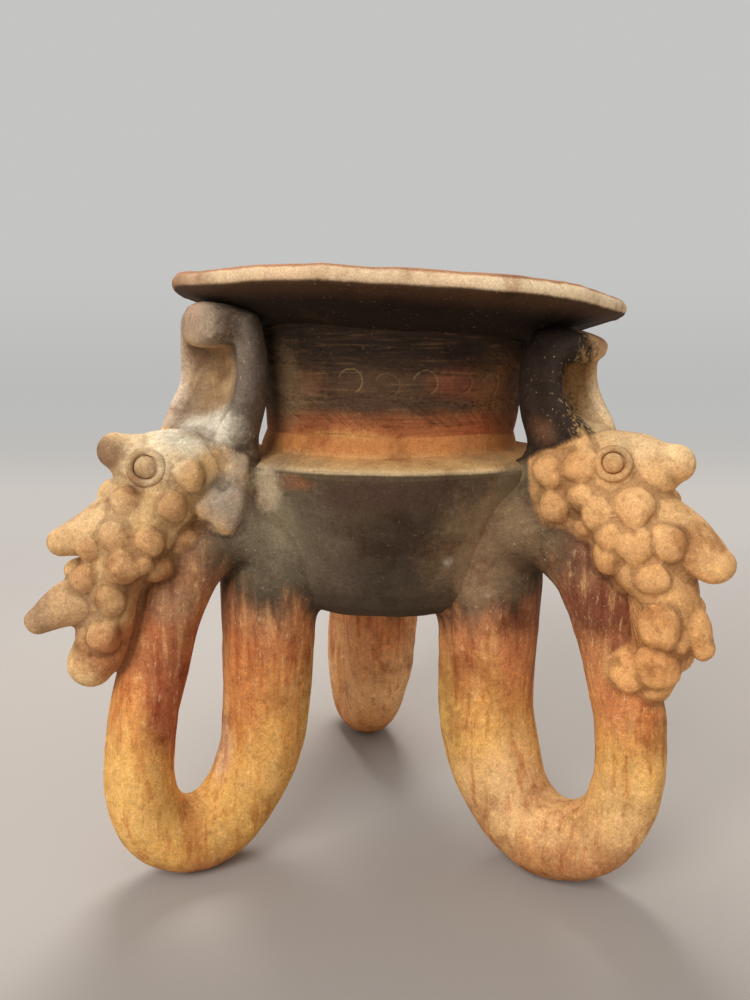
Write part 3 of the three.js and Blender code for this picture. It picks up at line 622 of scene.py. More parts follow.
def placed(side, points):
    """Points in a leg's own upright plane turned and moved to their place about the bowl's axis"""
    turn = math.radians(side["azimuth"])
    out, across = points[:, 0], points[:, 1] + side["beside"]
    return np.stack([out * math.cos(turn) - across * math.sin(turn),
                     out * math.sin(turn) + across * math.cos(turn), points[:, 2]], 1)


def to_plane(side, points):
    """Points about the bowl's axis in a leg's own upright plane"""
    turn = math.radians(side["azimuth"])
    out = points[:, 0] * math.cos(turn) + points[:, 1] * math.sin(turn)
    across = points[:, 1] * math.cos(turn) - points[:, 0] * math.sin(turn) - side["beside"]
    return np.stack([out, across, points[:, 2]], 1)


def piece(name, points, faces, slot, material, marks, normals=None):
    """A finished piece that stands for the CAD node of its name and rides on the body. Its marks are
    values at its points that its clay reads. It keeps the normals that its first points have on the
    clay it was parted from."""
    mesh = mesh_of(name, points, faces)
    for mark, values in marks.items():
        full = np.zeros(len(points), np.float32)
        full[:len(values)] = values
        mesh.attributes.new(mark, "FLOAT", "POINT").data.foreach_set("value", full)
    mesh.shade_smooth()
    if normals is None:
        mesh.set_sharp_from_angle(angle=SHARP)
    else:
        loops = normals[np.minimum(faces.reshape(-1), len(normals) - 1)]
        edges = points[faces]
        flat = unit(np.cross(edges[:, 1] - edges[:, 0], edges[:, 2] - edges[:, 0]))
        fan = np.repeat((faces >= len(normals)).any(1), 3)
        mesh.normals_split_custom_set(np.where(fan[:, None], np.repeat(flat, 3, 0), loops).tolist())
    made = bpy.data.objects.new(name + "_clay", mesh)
    bpy.context.scene.collection.objects.link(made)
    made.data.materials.append(material)
    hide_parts(name)
    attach(made, "root")


def loop_stations(side):
    """The sections of a leg's loop in metres: (out, up, half depth, half width)"""
    legs = sizes("legs")
    return [(out * side["reach"], deep * legs.roll_half - legs.worn if up is None else up * legs.loop_rise,
             deep * legs.roll_half, wide * legs.roll_half) for out, up, deep, wide in side["loop"]]


def on_head(side, out, up):
    """A place in a leg's plane, from shares of its head's length and height"""
    return side["root"] + out * side["length"], side["base"] + up * side["tall"]


def lobe_stations(side):
    """The sections of each lobe of a head in metres, as in a loop"""
    thick = sizes("heads").thick
    return [[(*on_head(side, out, up), deep * side["tall"], wide * thick) for out, up, deep, wide in lobe]
            for lobe in side["lobes"]]


def roll_reach(stations, points):
    """How far points lie outside a roll: at the nearest of its sections, the length of
    (distance in the plane / depth, sideways / width), less one, times the smaller of the two"""
    path = smooth_path(stations, len(stations) * 5)
    away = np.hypot(points[:, None, 0] - path[:, 0], points[:, None, 2] - path[:, 1]) / path[:, 2]
    share = np.hypot(away, points[:, None, 1] / path[:, 3]) - 1
    return (share * np.minimum(path[:, 2], path[:, 3])).min(1)


def flank_at(side, out, up):
    """How far a head's flank, or the loop's under it, stands out from the middle plane: the
    greatest width * sqrt(1 - share^2) of all sections, where share is distance / depth"""
    path = np.concatenate([smooth_path(s, 30) for s in [*lobe_stations(side), loop_stations(side)]])
    share = np.hypot(np.asarray(out)[..., None] - path[:, 0], np.asarray(up)[..., None] - path[:, 1])
    share = (share / path[:, 2]).clip(0, 1)
    return (path[:, 3] * np.sqrt(1 - share**2)).max(-1)


def on_flank(side, out, up, flank):
    """A place on a flank from its shares of the head, with the flank's own axes there from its
    slopes to each side: two along it and the last straight off it"""
    out, up = on_head(side, out, up)
    d = SLOPE_REACH
    slope_out = (flank_at(side, out + d, up) - flank_at(side, out - d, up)) / (2 * d)
    slope_up = (flank_at(side, out, up + d) - flank_at(side, out, up - d)) / (2 * d)
    off = unit(np.array([-slope_out.clip(-0.7, 0.7), 1.0, -slope_up.clip(-0.7, 0.7)]) * (1, flank, 1))
    first = unit(np.cross(off, (0.0, 0.0, 1.0)))
    return np.array([out, flank * flank_at(side, out, up), up]), np.stack([first, np.cross(off, first), off])


def flanks(side):
    """The letters of a head's two flanks, and which way each of them faces"""
    return ("a", side["flank_a"]), ("b", -side["flank_a"])


def pellets(side, counts):
    """As many pellets of each flank as are counted: the flank's letter and way, the pellet's number
    on it, its spot and axes there, and its radius"""
    for letter, flank in flanks(side):
        for place, (out, up, size) in enumerate(side["pellets"][:counts[letter]]):
            spot, axes = on_flank(side, out, up, flank)
            yield letter, flank, place, spot, axes, size * sizes("heads").pellet_size / 2


def pressed(spot, flank, radius):
    """The middle of a ball of clay that is pressed a little way into a flank"""
    return spot - np.array([0, flank * radius * PELLET_SUNK, 0])


def crest_skins(side):
    """A crest: along its lip line stands a closed curve of two half ellipses, the back with the
    crest's depth and width, the front with the channel's, deeper towards the far lip. From the far
    lip to the one on flank a the front moves in or out by the side's own two amounts. A roll on top
    makes the cap."""
    c = sizes("crests")
    stations = [(out * c.lip_line, c.root_height + up * side["crest_tall"], deep * c.depth,
                 wide * c.half_width) for out, up, deep, wide in side["crest"]]
    path = smooth_path(stations, 90)
    centre, _, outward, sideways = swept_frames(path)
    channel = np.interp((path[:, 1] - c.root_height) / side["crest_tall"], CHANNEL_UP, CHANNEL_DEEP)
    turn = np.linspace(0, math.pi, 34)
    lip = np.linspace(0, math.pi, 8)[1:-1]
    wall = c.wall / 2
    deep, wide = path[:, 2, None], path[:, 3, None]
    round_off = np.ones((len(path), 1)) * wall * LIP_ROUND * np.sin(lip)
    deeper = np.sin(turn[::-1]) * (1 - CHANNEL_SLANT * np.cos(turn[::-1]) * side["flank_a"])
    parts = (
        (-deep * np.sin(turn), wide * np.cos(turn)),
        (round_off, -(wide - wall) - wall * np.cos(lip)),
        (-(channel * c.depth)[:, None] * deeper, (wide - c.wall) * np.cos(turn[::-1])),
        (round_off, (wide - wall) - wall * np.cos(lip)),
    )
    off, across = (np.concatenate(halves, 1) for halves in zip(*parts))
    near = 0.5 + 0.5 * across * side["flank_a"] / wide
    share = np.where(np.arange(off.shape[1]) >= len(turn), 1, 1 + off / deep)
    off = off + (side["lips"][0] * near + side["lips"][1] * (1 - near)) * share
    rings = centre[:, None] + outward[:, None] * off[..., None] + sideways * across[..., None]
    cap = [(out + c.cap_over, *rest) for out, *rest in stations[-2:]]
    return [capped(rings), clay_roll(cap, 0.2, front=0.2, rings=8)]


def side_skins(side):
    """What is fused for one side: the loop in two lengths, the head's lobes and its pellets, each a
    ball pressed on the flank, wider than thick and a little uneven, then the crest and the bowl
    behind them, all about the bowl's axis"""
    loop = loop_stations(side)
    skins = [clay_roll(loop[:len(loop) - BRIDGE_COUNT + 2], 0.5, rings=130),
             clay_roll(loop[-BRIDGE_COUNT:], 0.5)]
    skins += [clay_roll(lobe, 1.0) for lobe in lobe_stations(side)]
    for letter, flank, place, spot, axes, radius in pellets(side, side["shown"]):
        radius *= OWN_SWELL if place < side["own"][letter] else SHOWN_SWELL
        centre = pressed(spot, flank, radius)
        points, faces = ball(centre, (radius, radius, radius * PELLET_FLAT), axes)
        uneven = wobble(points, PELLET_WAVE, side["seed"] + place) * radius * PELLET_UNEVEN
        skins.append((points + unit(points - centre) * uneven[:, None], faces))
    skins += crest_skins(side)
    return [*((placed(side, points), faces) for points, faces in skins), bowl_wedge(side)]


def smeared(side, points, quads):
    """The clay worked smooth with the fingers: passes that move each point half way to its
    neighbours' mean, times a share that is greatest where the loop meets the wall and inside the
    foot's bend, and less on the crest"""
    legs = sizes("legs")
    own = to_plane(side, points)
    out, up = own[:, 0], own[:, 2]
    near = rising(-np.abs(bowl_distance(points)), -legs.smear_reach, legs.smear_reach * 0.7)
    near *= rising(-roll_reach(loop_stations(side), own), *ROLL_FADE)
    on_ledge = up > bowl_outlines()["shoulder"][1] - LEDGE_DROP
    near *= np.where(on_ledge, rising(np.hypot(points[:, 0], points[:, 1]), *LEDGE_FADE), 1)
    near *= np.where(up > HEAD_LEVEL, rising(-out, *HEAD_FADE), 1)
    near = np.maximum(near, rising(-up, -legs.foot_smear, FOOT_FADE))
    near = np.maximum(near, legs.crest_smear * rising(up, *CREST_FADE) * (out < CREST_SMEAR_END))
    for _ in range(legs.smear_passes):
        points = points + 0.5 * near[:, None] * (around(points, quads) - points)
    return points


def labels(side, points):
    """Which piece each point belongs to, as columns of shares: leg, head, crest and then each own
    pellet, which takes what lies inside its swollen ellipsoid. Also how far each point is on a
    pellet of either kind."""
    own = to_plane(side, points)
    leg = np.minimum(roll_reach(loop_stations(side), own), bowl_distance(points) - WALL_SHARE)
    head = np.min([roll_reach(lobe, own) for lobe in lobe_stations(side)], 0)
    off_ball = np.min([np.linalg.norm(own - spot, axis=1) - radius
                       for *_, spot, _, radius in pellets(side, side["shown"])] + [np.ones(len(points))], 0)
    head = np.minimum(head, off_ball)
    crest = (own[:, 2] > CREST_FOOT[1] + CREST_SLOPE * (own[:, 0] - CREST_FOOT[0])) & (own[:, 0] < CREST_END)
    kind = np.where(crest, 2, np.where(leg < head, 0, 1))
    nearest = np.full(len(points), OWN_REACH)
    for number, (_, flank, _, spot, axes, radius) in enumerate(pellets(side, side["own"]), 3):
        radii = (radius, radius, radius * PELLET_FLAT)
        share = np.linalg.norm((own - pressed(spot, flank, radius)) @ axes.T / radii, axis=1)
        kind = np.where(share < nearest, number, kind)
        nearest = np.minimum(nearest, share)
    on_ball = rising(-off_ball, -PELLET_EDGE, PELLET_EDGE)
    return np.eye(kind.max() + 1)[kind], on_ball


def parted(side, points, faces):
    """Which piece each triangle goes to, and at each point how far it is on the head, on the crest
    and on a pellet: the labels spread a few rings, and loose patches given to the next best piece"""
    share, on_ball = labels(side, points)
    for _ in range(4):
        share = around(share, faces)
    zone = np.stack([1 - share[:, 0] - share[:, 2], share[:, 2]], 1)
    for _ in range(8):
        zone = around(zone, faces)
    share = share[faces].mean(1)
    kind = share.argmax(1)
    for number in range(share.shape[1]):
        chosen = np.flatnonzero(kind == number)
        loose = chosen[~main_lump(faces[chosen], len(points))]
        share[loose, number] = -1
        kind[loose] = share[loose].argmax(1)
    return kind, {"head": zone[:, 0], "crest": zone[:, 1], "pellet": on_ball}


# The clays

def colour(code):
    """The linear colour of an sRGB code such as d8a05c"""
    share = np.array([int(code[i:i + 2], 16) / 255 for i in (0, 2, 4)])
    linear = np.where(share <= 0.04045, share / 12.92, ((share + 0.055) / 1.055) ** 2.4)
    return (*linear.tolist(), 1.0)


class Value:
    """A socket of a material on which arithmetic adds Math nodes"""

    def __init__(self, clay, socket):
        self.clay, self.socket = clay, socket

    def _math(self, operation, first, second):
        return self.clay.node("ShaderNodeMath", {"operation": operation}, {0: first, 1: second})

    def __add__(self, other):
        return self._math("ADD", self, other)

    def __sub__(self, other):
        return self._math("SUBTRACT", self, other)

    def __rsub__(self, other):
        return self._math("SUBTRACT", other, self)

    def __mul__(self, other):
        return self._math("MULTIPLY", self, other)

    __radd__ = __add__
    __rmul__ = __mul__


class Clay:
    """A material of fired clay and the few node recipes that its finishes share. A colour may be
    given as its code."""

    def __init__(self, name):
        self.material = bpy.data.materials.new(name)
        self.material.use_nodes = True
        self.tree = self.material.node_tree
        self.tree.nodes.clear()
        self.place = self.node("ShaderNodeTexCoord", out="Object")

    def node(self, kind, settings=None, values=None, out=0):
        """Adds a node: its settings first, then a value or a link for each socket named"""
        made = self.tree.nodes.new(kind)
        for key, setting in (settings or {}).items():
            setattr(made, key, setting)
        for key, value in (values or {}).items():
            if isinstance(value, Value):
                self.tree.links.new(value.socket, made.inputs[key])
            else:
                made.inputs[key].default_value = colour(value) if isinstance(value, str) else value
        return Value(self, made.outputs[out])

    def along(self, axis):
        """The place on one axis of the piece"""
        return self.node("ShaderNodeSeparateXYZ", {}, {0: self.place}, out=axis)

    def noise(self, scale, detail=3.0, rough=0.55, place=None):
        return self.node("ShaderNodeTexNoise", {}, {
            "Vector": place or self.place, "Scale": scale, "Detail": detail, "Roughness": rough})

    def streaks(self, scales, detail=3.0, rough=0.6):
        """Noise with a scale of its own on each axis"""
        return self.noise(1.0, detail, rough, self.vector("MULTIPLY", self.place, scales))

    def ease(self, value, low, high, to_low=0.0, to_high=1.0):
        """A smooth step from to_low at low to to_high at high"""
        return self.node("ShaderNodeMapRange", {"interpolation_type": "SMOOTHSTEP"},
                         {0: value, 1: low, 2: high, 3: to_low, 4: to_high})

    def mix(self, share, first, second, blend="MIX"):
        return self.node("ShaderNodeMix", {"data_type": "RGBA", "blend_type": blend},
                         {0: share, 6: first, 7: second}, out=2)

    def vector(self, operation, first, second, out=0):
        return self.node("ShaderNodeVectorMath", {"operation": operation}, {0: first, 1: second}, out)

    def edge(self, amount=1.1):
        """What makes the edges of clouds ragged: broad waves and a fine stipple"""
        return (self.noise(42.0, 5.0, 0.62) - 0.5) * amount + (self.noise(560.0, 3.0, 0.7) - 0.5) * 0.7

    def clouded(self, tint, clouds, edge, side=None):
        """A tint with clouds laid over it one after the other, in millimetres. Each is whole inside
        its ellipsoid and eases to nothing outside it, with ragged edges. Those of a side are given
        in its own upright plane, across towards flank a, with one radius and a half height."""
        for code, first, second, up, *radii, strength in clouds:
            centre = np.array([[first, second, up]]) / 1000
            if side:
                centre = placed(side, centre * (1, side["flank_a"], 1))
                radii = [radii[0], *radii]
            apart = self.vector("SUBTRACT", self.place, tuple(at_axis(centre)[0].tolist()))
            apart = self.vector("DIVIDE", apart, tuple(radius / 1000 for radius in radii))
            share = self.vector("LENGTH", apart, (0, 0, 0), "Value")
            patch = self.ease(share + edge, 1 + CLOUD_SOFT, 1 - CLOUD_SOFT)
            tint = self.mix(patch * strength, tint, code)
        return tint

    def mark(self, name):
        """A value stored at the piece's points"""
        return self.node("ShaderNodeAttribute", {"attribute_name": name}, out="Fac")

    def ramp(self, value, high, stops):
        """Colours by a value: each stop is a value up to the highest one, and a colour code"""
        made = self.node("ShaderNodeValToRGB", {}, {0: value * (1 / high)})
        band = made.socket.node.color_ramp
        for place, (at, code) in enumerate(stops):
            stop = band.elements[place] if place < 2 else band.elements.new(at / high)
            stop.position, stop.color = at / high, colour(code)
        return made

    def scaled(self, tint, share):
        """A colour made lighter or darker by a share"""
        return self.node("ShaderNodeVectorMath", {"operation": "SCALE"}, {0: tint, 3: share})

    def finish(self, tint, wear, grain=1.0):
        """Grain, pits, painted shade in the creases and worn edges over a tint, and the skin's fine relief"""
        hollow = self.mark("hollow")
        mottle = self.noise(50.0, 5.0, 0.6)
        fine = self.noise(450.0, 4.0, 0.7)
        grit = self.noise(1500.0, 2.0, 0.65)
        tint = self.mix(self.ease(mottle, 0.48, 0.32, 0.0, 0.50), tint, "b4845f", "MULTIPLY")
        tint = self.mix(self.ease(fine, 0.50, 0.30, 0.0, 0.40 * grain), tint, "b58c6c", "MULTIPLY")
        level = self.ease(mottle, 0.32, 0.68, 0.95, 1.14) * self.ease(grit, 0.34, 0.66, 0.86, 1.14)
        level = level * self.ease(fine, 0.52, 0.74, 0.97, 0.97 + 0.34 * grain)
        tint = self.scaled(tint, level)
        tint = self.mix(self.ease(self.noise(800.0, 3.0, 0.6), 0.66, 0.73, 0.0, 0.60 * grain), tint, wear)
        # Painted shade: darker in creases and between pellets where the hollow mark is high; ridges lighter
        # as worn edges
        tint = self.mix(self.ease(hollow, 0.12, 0.90, 0.0, 0.36), tint, "7a5840", "MULTIPLY")
        tint = self.scaled(tint, self.ease(hollow, -0.15, -0.90, 1.0, 1.16))
        rough = self.ease(mottle + fine * 0.5, 0.5, 1.0, 0.74, 0.95)
        relief = self.node("ShaderNodeBump", {}, {"Strength": 0.6, "Distance": PORES, "Height": fine})
        relief = self.node("ShaderNodeBump", {}, {
            "Strength": 0.5, "Distance": GRAINS, "Height": grit, "Normal": relief})
        return self.done(self.node("ShaderNodeBsdfPrincipled", {}, {
            "Base Color": tint, "Roughness": rough, "Specular IOR Level": 0.22, "Normal": relief}))

    def done(self, surface):
        """The material with a shader as its surface"""
        out = self.tree.nodes.new("ShaderNodeOutputMaterial")
        self.tree.links.new(surface.socket, out.inputs["Surface"])
        return self.material


# The fine relief of pores and grains in metres, how softly clouds end, the top of the legs' colour
# scale, the rim's height and the wall's smoked clay
PORES, GRAINS, CLOUD_SOFT, RAMP_TOP, RIM_HEIGHT, SMOKED = 0.0004, 0.00018, 0.42, 0.15, 0.237, "52422f"
# Smeared clay at the tops of the legs, on the wall and the legs alike:
# (code, out, across, up, radius, half height, strength) in millimetres, across towards flank a
SMEARS = {
    "left": [
        ("6c5f4b", 58, 18, 148, 27, 25, 1.0), ("8b7c62", 60, 24, 154, 9, 16, 0.6),
        ("bda888", 70, 22, 165, 8, 8, 0.9),
        ("4c3f31", 46, 12, 119, 14, 7, 0.6),
    ],
    "right": [
        ("7f674b", 56, 16, 148, 27, 25, 1.0), ("97785a", 56, 24, 138, 8, 24, 0.7),
        ("77684f", 72, 20, 168, 9, 7, 0.7),
        ("55422f", 46, 12, 118, 14, 7, 0.5),
    ],
    "rear": [("6b5a45", 60, 0, 148, 32, 32, 1.0), ("8a7558", 68, 0, 173, 18, 6, 0.8)],
}
# A leg's colours by height in metres
LEG_COLOURS = {
    "left": [(0.0, "b87a45"), (0.010, "cb954f"), (0.023, "dba75b"), (0.042, "dba459"), (0.060, "d89c54"),
             (0.080, "cf8d4e"), (0.100, "c07a48"), (0.118, "a8734c"), (0.148, "936b50")],
    "right": [(0.0, "ba7d4b"), (0.012, "ca915a"), (0.025, "e2b177"), (0.042, "deac6c"), (0.058, "dfaa60"),
              (0.075, "d99b55"), (0.094, "c98450"), (0.112, "9c6643"), (0.148, "875a41")],
    "rear": [(0.0, "9a5c36"), (0.010, "cf8d54"), (0.040, "e8b57c"), (0.080, "d08a58"), (0.120, "a0683f")],
}
# The clay of each head and crest, and the firing clouds and stains of each part, written as above
BASES = {"left": ("cfa873", "9c866e"), "right": ("d8a56c", "c39a63"), "rear": ("c99a68", "98805f")}
PELLETS = {"left": "ac7d52", "right": "cd965e", "rear": "b07e54"}
LEG_CLOUDS = {
    "left": [
        ("c0703c", 78, 12, 84, 8, 26, 0.5), ("dcb264", 48, 10, 62, 10, 34, 0.7),
        ("dcb490", 82, 2, 46, 6, 26, 0.6),
        ("a35538", 107, 8, 84, 10, 28, 0.85), ("a0623f", 112, 6, 106, 18, 14, 0.5),
        ("dcab62", 126, 6, 42, 14, 24, 0.6),
        ("b36f38", 101, 12, 26, 6, 14, 0.6), ("a98160", 104, 14, 121, 9, 8, 0.6),
    ],
    "right": [
        ("c27445", 70, 12, 90, 8, 20, 0.4), ("dcae5c", 42, 10, 66, 11, 34, 0.8),
        ("e2b581", 66, 8, 42, 12, 20, 0.5),
        ("74402b", 102, 8, 122, 12, 9, 0.9), ("c47a49", 114, 6, 88, 12, 18, 0.6),
        ("b8794a", 106, 8, 18, 18, 13, 0.6),
    ],
    "rear": [("bf6d42", 66, 0, 84, 14, 30, 0.5), ("a9633c", 78, 14, 60, 10, 40, 0.4)],
}
HEAD_CLOUDS = {
    "left": [
        ("dccaa8", 108, 4, 176, 16, 13, 0.7), ("d9ceb4", 94, 4, 186, 15, 10, 0.9),
        ("84664c", 127, 4, 179, 9, 7, 0.95),
        ("b58a62", 143, 4, 152, 9, 7, 0.4), ("b28b66", 138, 0, 122, 15, 10, 0.8),
        ("8d6d54", 151, 0, 119, 8, 9, 0.75), ("c0905f", 118, 14, 136, 14, 18, 0.6),
        ("ad693f", 124, 8, 104, 16, 13, 0.85), ("b5723f", 112, 12, 116, 9, 16, 0.6),
        ("e2bd8d", 128, 4, 158, 14, 9, 0.5), ("938878", 84, 16, 160, 10, 12, 0.9),
        ("8c7a66", 72, 22, 154, 13, 12, 1.0), ("a5917a", 74, 22, 178, 13, 11, 0.9),
        ("7a5a43", 78, 12, 138, 12, 9, 0.6),
    ],
    "right": [
        ("dcb07a", 122, 0, 166, 24, 24, 0.6), ("dfbb8a", 118, 0, 186, 22, 9, 0.8),
        ("b09670", 139, 0, 174, 6, 8, 0.6),
        ("de9f60", 126, 8, 104, 18, 26, 0.7), ("b98c5c", 84, 18, 158, 12, 16, 0.7),
        ("b0764a", 104, 10, 134, 12, 9, 0.5),
    ],
    "rear": [("caa072", 122, 0, 148, 30, 40, 0.6), ("b98454", 116, 8, 110, 14, 14, 0.6)],
}
CREST_CLOUDS = {
    "left": [
        ("6b5e51", 66, 28, 208, 25, 44, 1.2), ("b6946a", 84, -2, 210, 13, 20, 0.9),
        ("b3937a", 92, 0, 233, 12, 9, 0.8),
        ("d3bda4", 97, -20, 206, 8, 30, 0.85), ("d9cfb8", 90, 8, 188, 15, 9, 0.95),
    ],
    "right": [
        ("d8bd98", 94, -14, 204, 9, 24, 0.8), ("bf956a", 94, -6, 223, 10, 8, 0.9),
        ("e4c08d", 99, 0, 190, 14, 9, 0.9),
        ("33271e", 62, 30, 214, 35, 42, 3.0), ("2e231b", 78, 22, 229, 19, 12, 1.6),
        ("7b553d", 77, 24, 187, 9, 8, 0.8),
    ],
    "rear": [("5a4a3c", 66, 22, 210, 22, 34, 0.9), ("b28e69", 88, 0, 206, 12, 22, 0.7)],
}
# Stains of the bowl's wall about its axis: (code, x, y, up, three radii, strength)
WALL_CLOUDS = [
    ("463a2d", 0, -58, 124, 60, 40, 16, 0.8), ("3b2e23", 8, -70, 144, 26, 18, 18, 0.6),
    ("55443a", -26, -60, 142, 14, 20, 22, 0.5),
    ("4c342a", 0, -72, 164, 40, 18, 6, 0.7), ("5b4a38", 26, -62, 128, 16, 14, 20, 0.5),
    ("4e3b33", 0, 68, 146, 60, 30, 26, 0.6), ("9b7c5b", 30, -52, 134, 7, 10, 16, 0.6),
    ("ddd3c0", 19.5, -58.5, 137.5, 1.8, 4, 2.2, 1.0), ("ddd3c0", 36, -50, 122, 1.4, 4, 1.4, 1.0),
    ("d5c8b0", -50, -45, 158, 6, 9, 7, 0.8),
    ("9c5632", -40, -58, 168, 9, 10, 3, 0.7),
]
# The neck's clay at its foot, then on the way up: (where it starts and is whole in metres, code)
NECK_FOOT = "bf7e47"
# The last and darkest colour is smoked clay with the flange's shadow painted in
NECK_COLOURS = ((0.176, 0.186, "b36d40"), (0.183, 0.193, "8e5432"), (0.191, 0.197, "543d2a"),
                (0.211, 0.220, "35281d"))
NECK_CLOUDS = [
    ("8a4c34", 24, -52, 206, 12, 12, 7, 0.6), ("96623a", 40, -42, 199, 12, 14, 8, 0.5),
    ("75583a", 38, -44, 212, 16, 14, 8, 0.6),
    ("774930", -34, -46, 206, 6, 8, 5, 0.4), ("7a6244", -44, -38, 206, 12, 14, 14, 0.45),
    # This near-black cloud under the flange is its painted shadow
    ("281e16", 0, -56, 215, 44, 20, 6, 0.6),
    ("cd9a58", -24, -50, 180, 24, 16, 7, 0.8), ("b8603a", 36, -44, 186, 14, 14, 7, 0.5),
    ("7d6346", -50, -30, 200, 10, 16, 18, 0.6), ("9a6842", 46, -36, 200, 12, 14, 14, 0.6),
]


def side_clay(name):
    """The clay of one leg with its head and crest. A leg is coloured by its height and smoked where
    it meets the wall; head and crest take over where the marks on the skin say so."""
    clay = Clay(f"{name} clay")
    side = SIDES[name]
    turn = math.radians(side["azimuth"])
    edge = clay.edge()
    height = clay.along("Z")
    away = clay.vector("SUBTRACT", clay.place, (*AXIS.tolist(), 0.0))
    out = clay.vector("DOT_PRODUCT", away, (math.cos(turn), math.sin(turn), 0.0), "Value")
    streak = clay.streaks((240, 240, 34), 4.0, 0.65)
    broad = clay.streaks((70, 70, 20))
    drift = height + (broad - 0.5) * 0.055 + (streak - 0.5) * 0.022 + edge * 0.003
    leg = clay.clouded(clay.ramp(drift, RAMP_TOP, LEG_COLOURS[name]), LEG_CLOUDS[name], edge, side)
    leg = clay.mix(clay.ease(streak, 0.50, 0.66, 0.0, 0.45), leg, "c27a50", "MULTIPLY")
    leg = clay.mix(clay.ease(streak, 0.46, 0.32, 0.0, 0.30), leg, "e6ba7a")
    leg = clay.mix(clay.ease(clay.streaks((620, 620, 150)), 0.60, 0.70, 0.0, 0.34), leg, "ecc690")
    smoke = clay.ease(drift - (out - 0.062) * 0.5, 0.109, 0.129) * clay.ease(out, 0.102, 0.084)
    tint = clay.mix(smoke, leg, clay.clouded(SMOKED, WALL_CLOUDS, edge))
    tint = clay.clouded(tint, SMEARS[name], edge, side)
    head, crest = BASES[name]
    lumps = clay.mark("pellet") * clay.ease(clay.noise(70.0), 0.30, 0.60, 0.35, 1.0)
    head = clay.clouded(clay.mix(lumps * 0.85, head, PELLETS[name]), HEAD_CLOUDS[name], edge, side)
    crest = clay.clouded(crest, CREST_CLOUDS[name], edge, side)
    for mark, skin in (("head", head), ("crest", crest)):
        tint = clay.mix(clay.ease(clay.mark(mark) + edge * 0.25, 0.25, 0.75), tint, skin)
    return clay.finish(tint, "e0c193")


def wall_clay():
    """The bowl's smoked wall and its ledge, buff at the edge and orange at the neck"""
    clay = Clay("bowl clay")
    edge = clay.edge(1.3)
    height = clay.along("Z")
    tint = clay.clouded(SMOKED, WALL_CLOUDS, edge)
    buff = clay.mix(clay.ease(height + edge * 0.0012, 0.1735, 0.1805), "d3a86e", "bd7c45")
    tint = clay.mix(clay.ease(height + edge * 0.0006, 0.1726, 0.1736), tint, buff)
    ragged = height + edge * 0.0005
    pale = clay.ease(ragged, 0.1718, 0.1728) * clay.ease(ragged, 0.1746, 0.1735)
    tint = clay.mix(pale * 0.6, tint, "d9bb8e")
    for name, side in SIDES.items():
        tint = clay.clouded(tint, SMEARS[name], edge, side)
    return clay.finish(tint, "9c8160", 0.7)


def neck_clay():
    """The neck: orange at its foot, a smoked band above with the flange's painted shadow at its top, and pale
    clay bared in the grooves
    """
    clay = Clay("neck clay")
    edge = clay.edge(1.2)
    height = clay.along("Z") + edge * 0.0045
    tint = NECK_FOOT
    for low, high, code in NECK_COLOURS:
        tint = clay.mix(clay.ease(height, low, high), tint, code)
    tint = clay.clouded(tint, NECK_CLOUDS, edge)
    streak = clay.streaks((60, 60, 900))
    tint = clay.mix(clay.ease(streak, 0.50, 0.70, 0.0, 0.40), tint, "5f4330", "MULTIPLY")
    tint = clay.mix(clay.ease(streak, 0.46, 0.30, 0.0, 0.20), tint, "a5794c")
    tint = clay.mix(clay.ease(clay.mark("groove"), 0.15, 0.9, 0.0, 0.45), tint, "a5835a")
    tint = clay.mix(clay.ease(clay.mark("scratch"), 0.2, 0.9, 0.0, 0.42), tint, "2a1d15")
    return clay.finish(tint, "a07c52", 0.75)


def rim_clay():
    """The flange: a pale worn lip, an underside darkened by soot and painted shade, and a brown upper face"""
    clay = Clay("rim clay")
    edge = clay.edge(1.0)
    under = clay.mark("under")
    tint = clay.mix(clay.noise(28.0), "e6cca8", "d3ab80")
    tint = clay.mix(clay.ease(clay.noise(19.0), 0.56, 0.68) * 0.4, tint, "b98058")
    across = clay.along("X")
    tint = clay.mix(clay.ease(across + edge * 0.02, -0.045, -0.085) * 0.75, tint, "96603f")
    tint = clay.mix(clay.ease(across + edge * 0.02, 0.092, 0.108) * 0.5, tint, "b5764e")
    tint = clay.mix(clay.ease(across + edge * 0.01, 0.01, 0.06) * 0.9, tint, "fbdfb4")
    # Soot and painted shade on the underside, less dark towards the lip's edge
    soot_and_shade = clay.mix(clay.ease(clay.noise(24.0, 4.0), 0.52, 0.66), "241a12", "3a291c")
    away = clay.vector("SUBTRACT", clay.place, (*AXIS.tolist(), RIM_HEIGHT))
    radius = clay.vector("LENGTH", away, (0.0, 0.0, 0.0), "Value")
    soot_and_shade = clay.mix(clay.ease(radius + edge * 0.004, 0.080, 0.095) * 0.7, soot_and_shade, "5f442f")
    tint = clay.mix(clay.ease(under + edge * 0.25, 0.42, 0.76), tint, soot_and_shade)
    tint = clay.mix(clay.ease(under + edge * 0.3, -0.50, -0.80), tint, "a3704c")
    return clay.finish(tint, "dcbc8e", 0.6)


# Sizes and looks

def metres(name, description, default):
    """A length that the user may change"""
    return FloatProperty(name=name, description=description, unit="LENGTH", default=default)


def angle(name, description, degrees):
    """An angle, given in degrees"""
    return FloatProperty(name=name, description=description, subtype="ANGLE", default=math.radians(degrees))


def shade(name, description, default):
    """A colour that the user may change"""
    return FloatVectorProperty(name=name, description=description, subtype="COLOR", default=default)


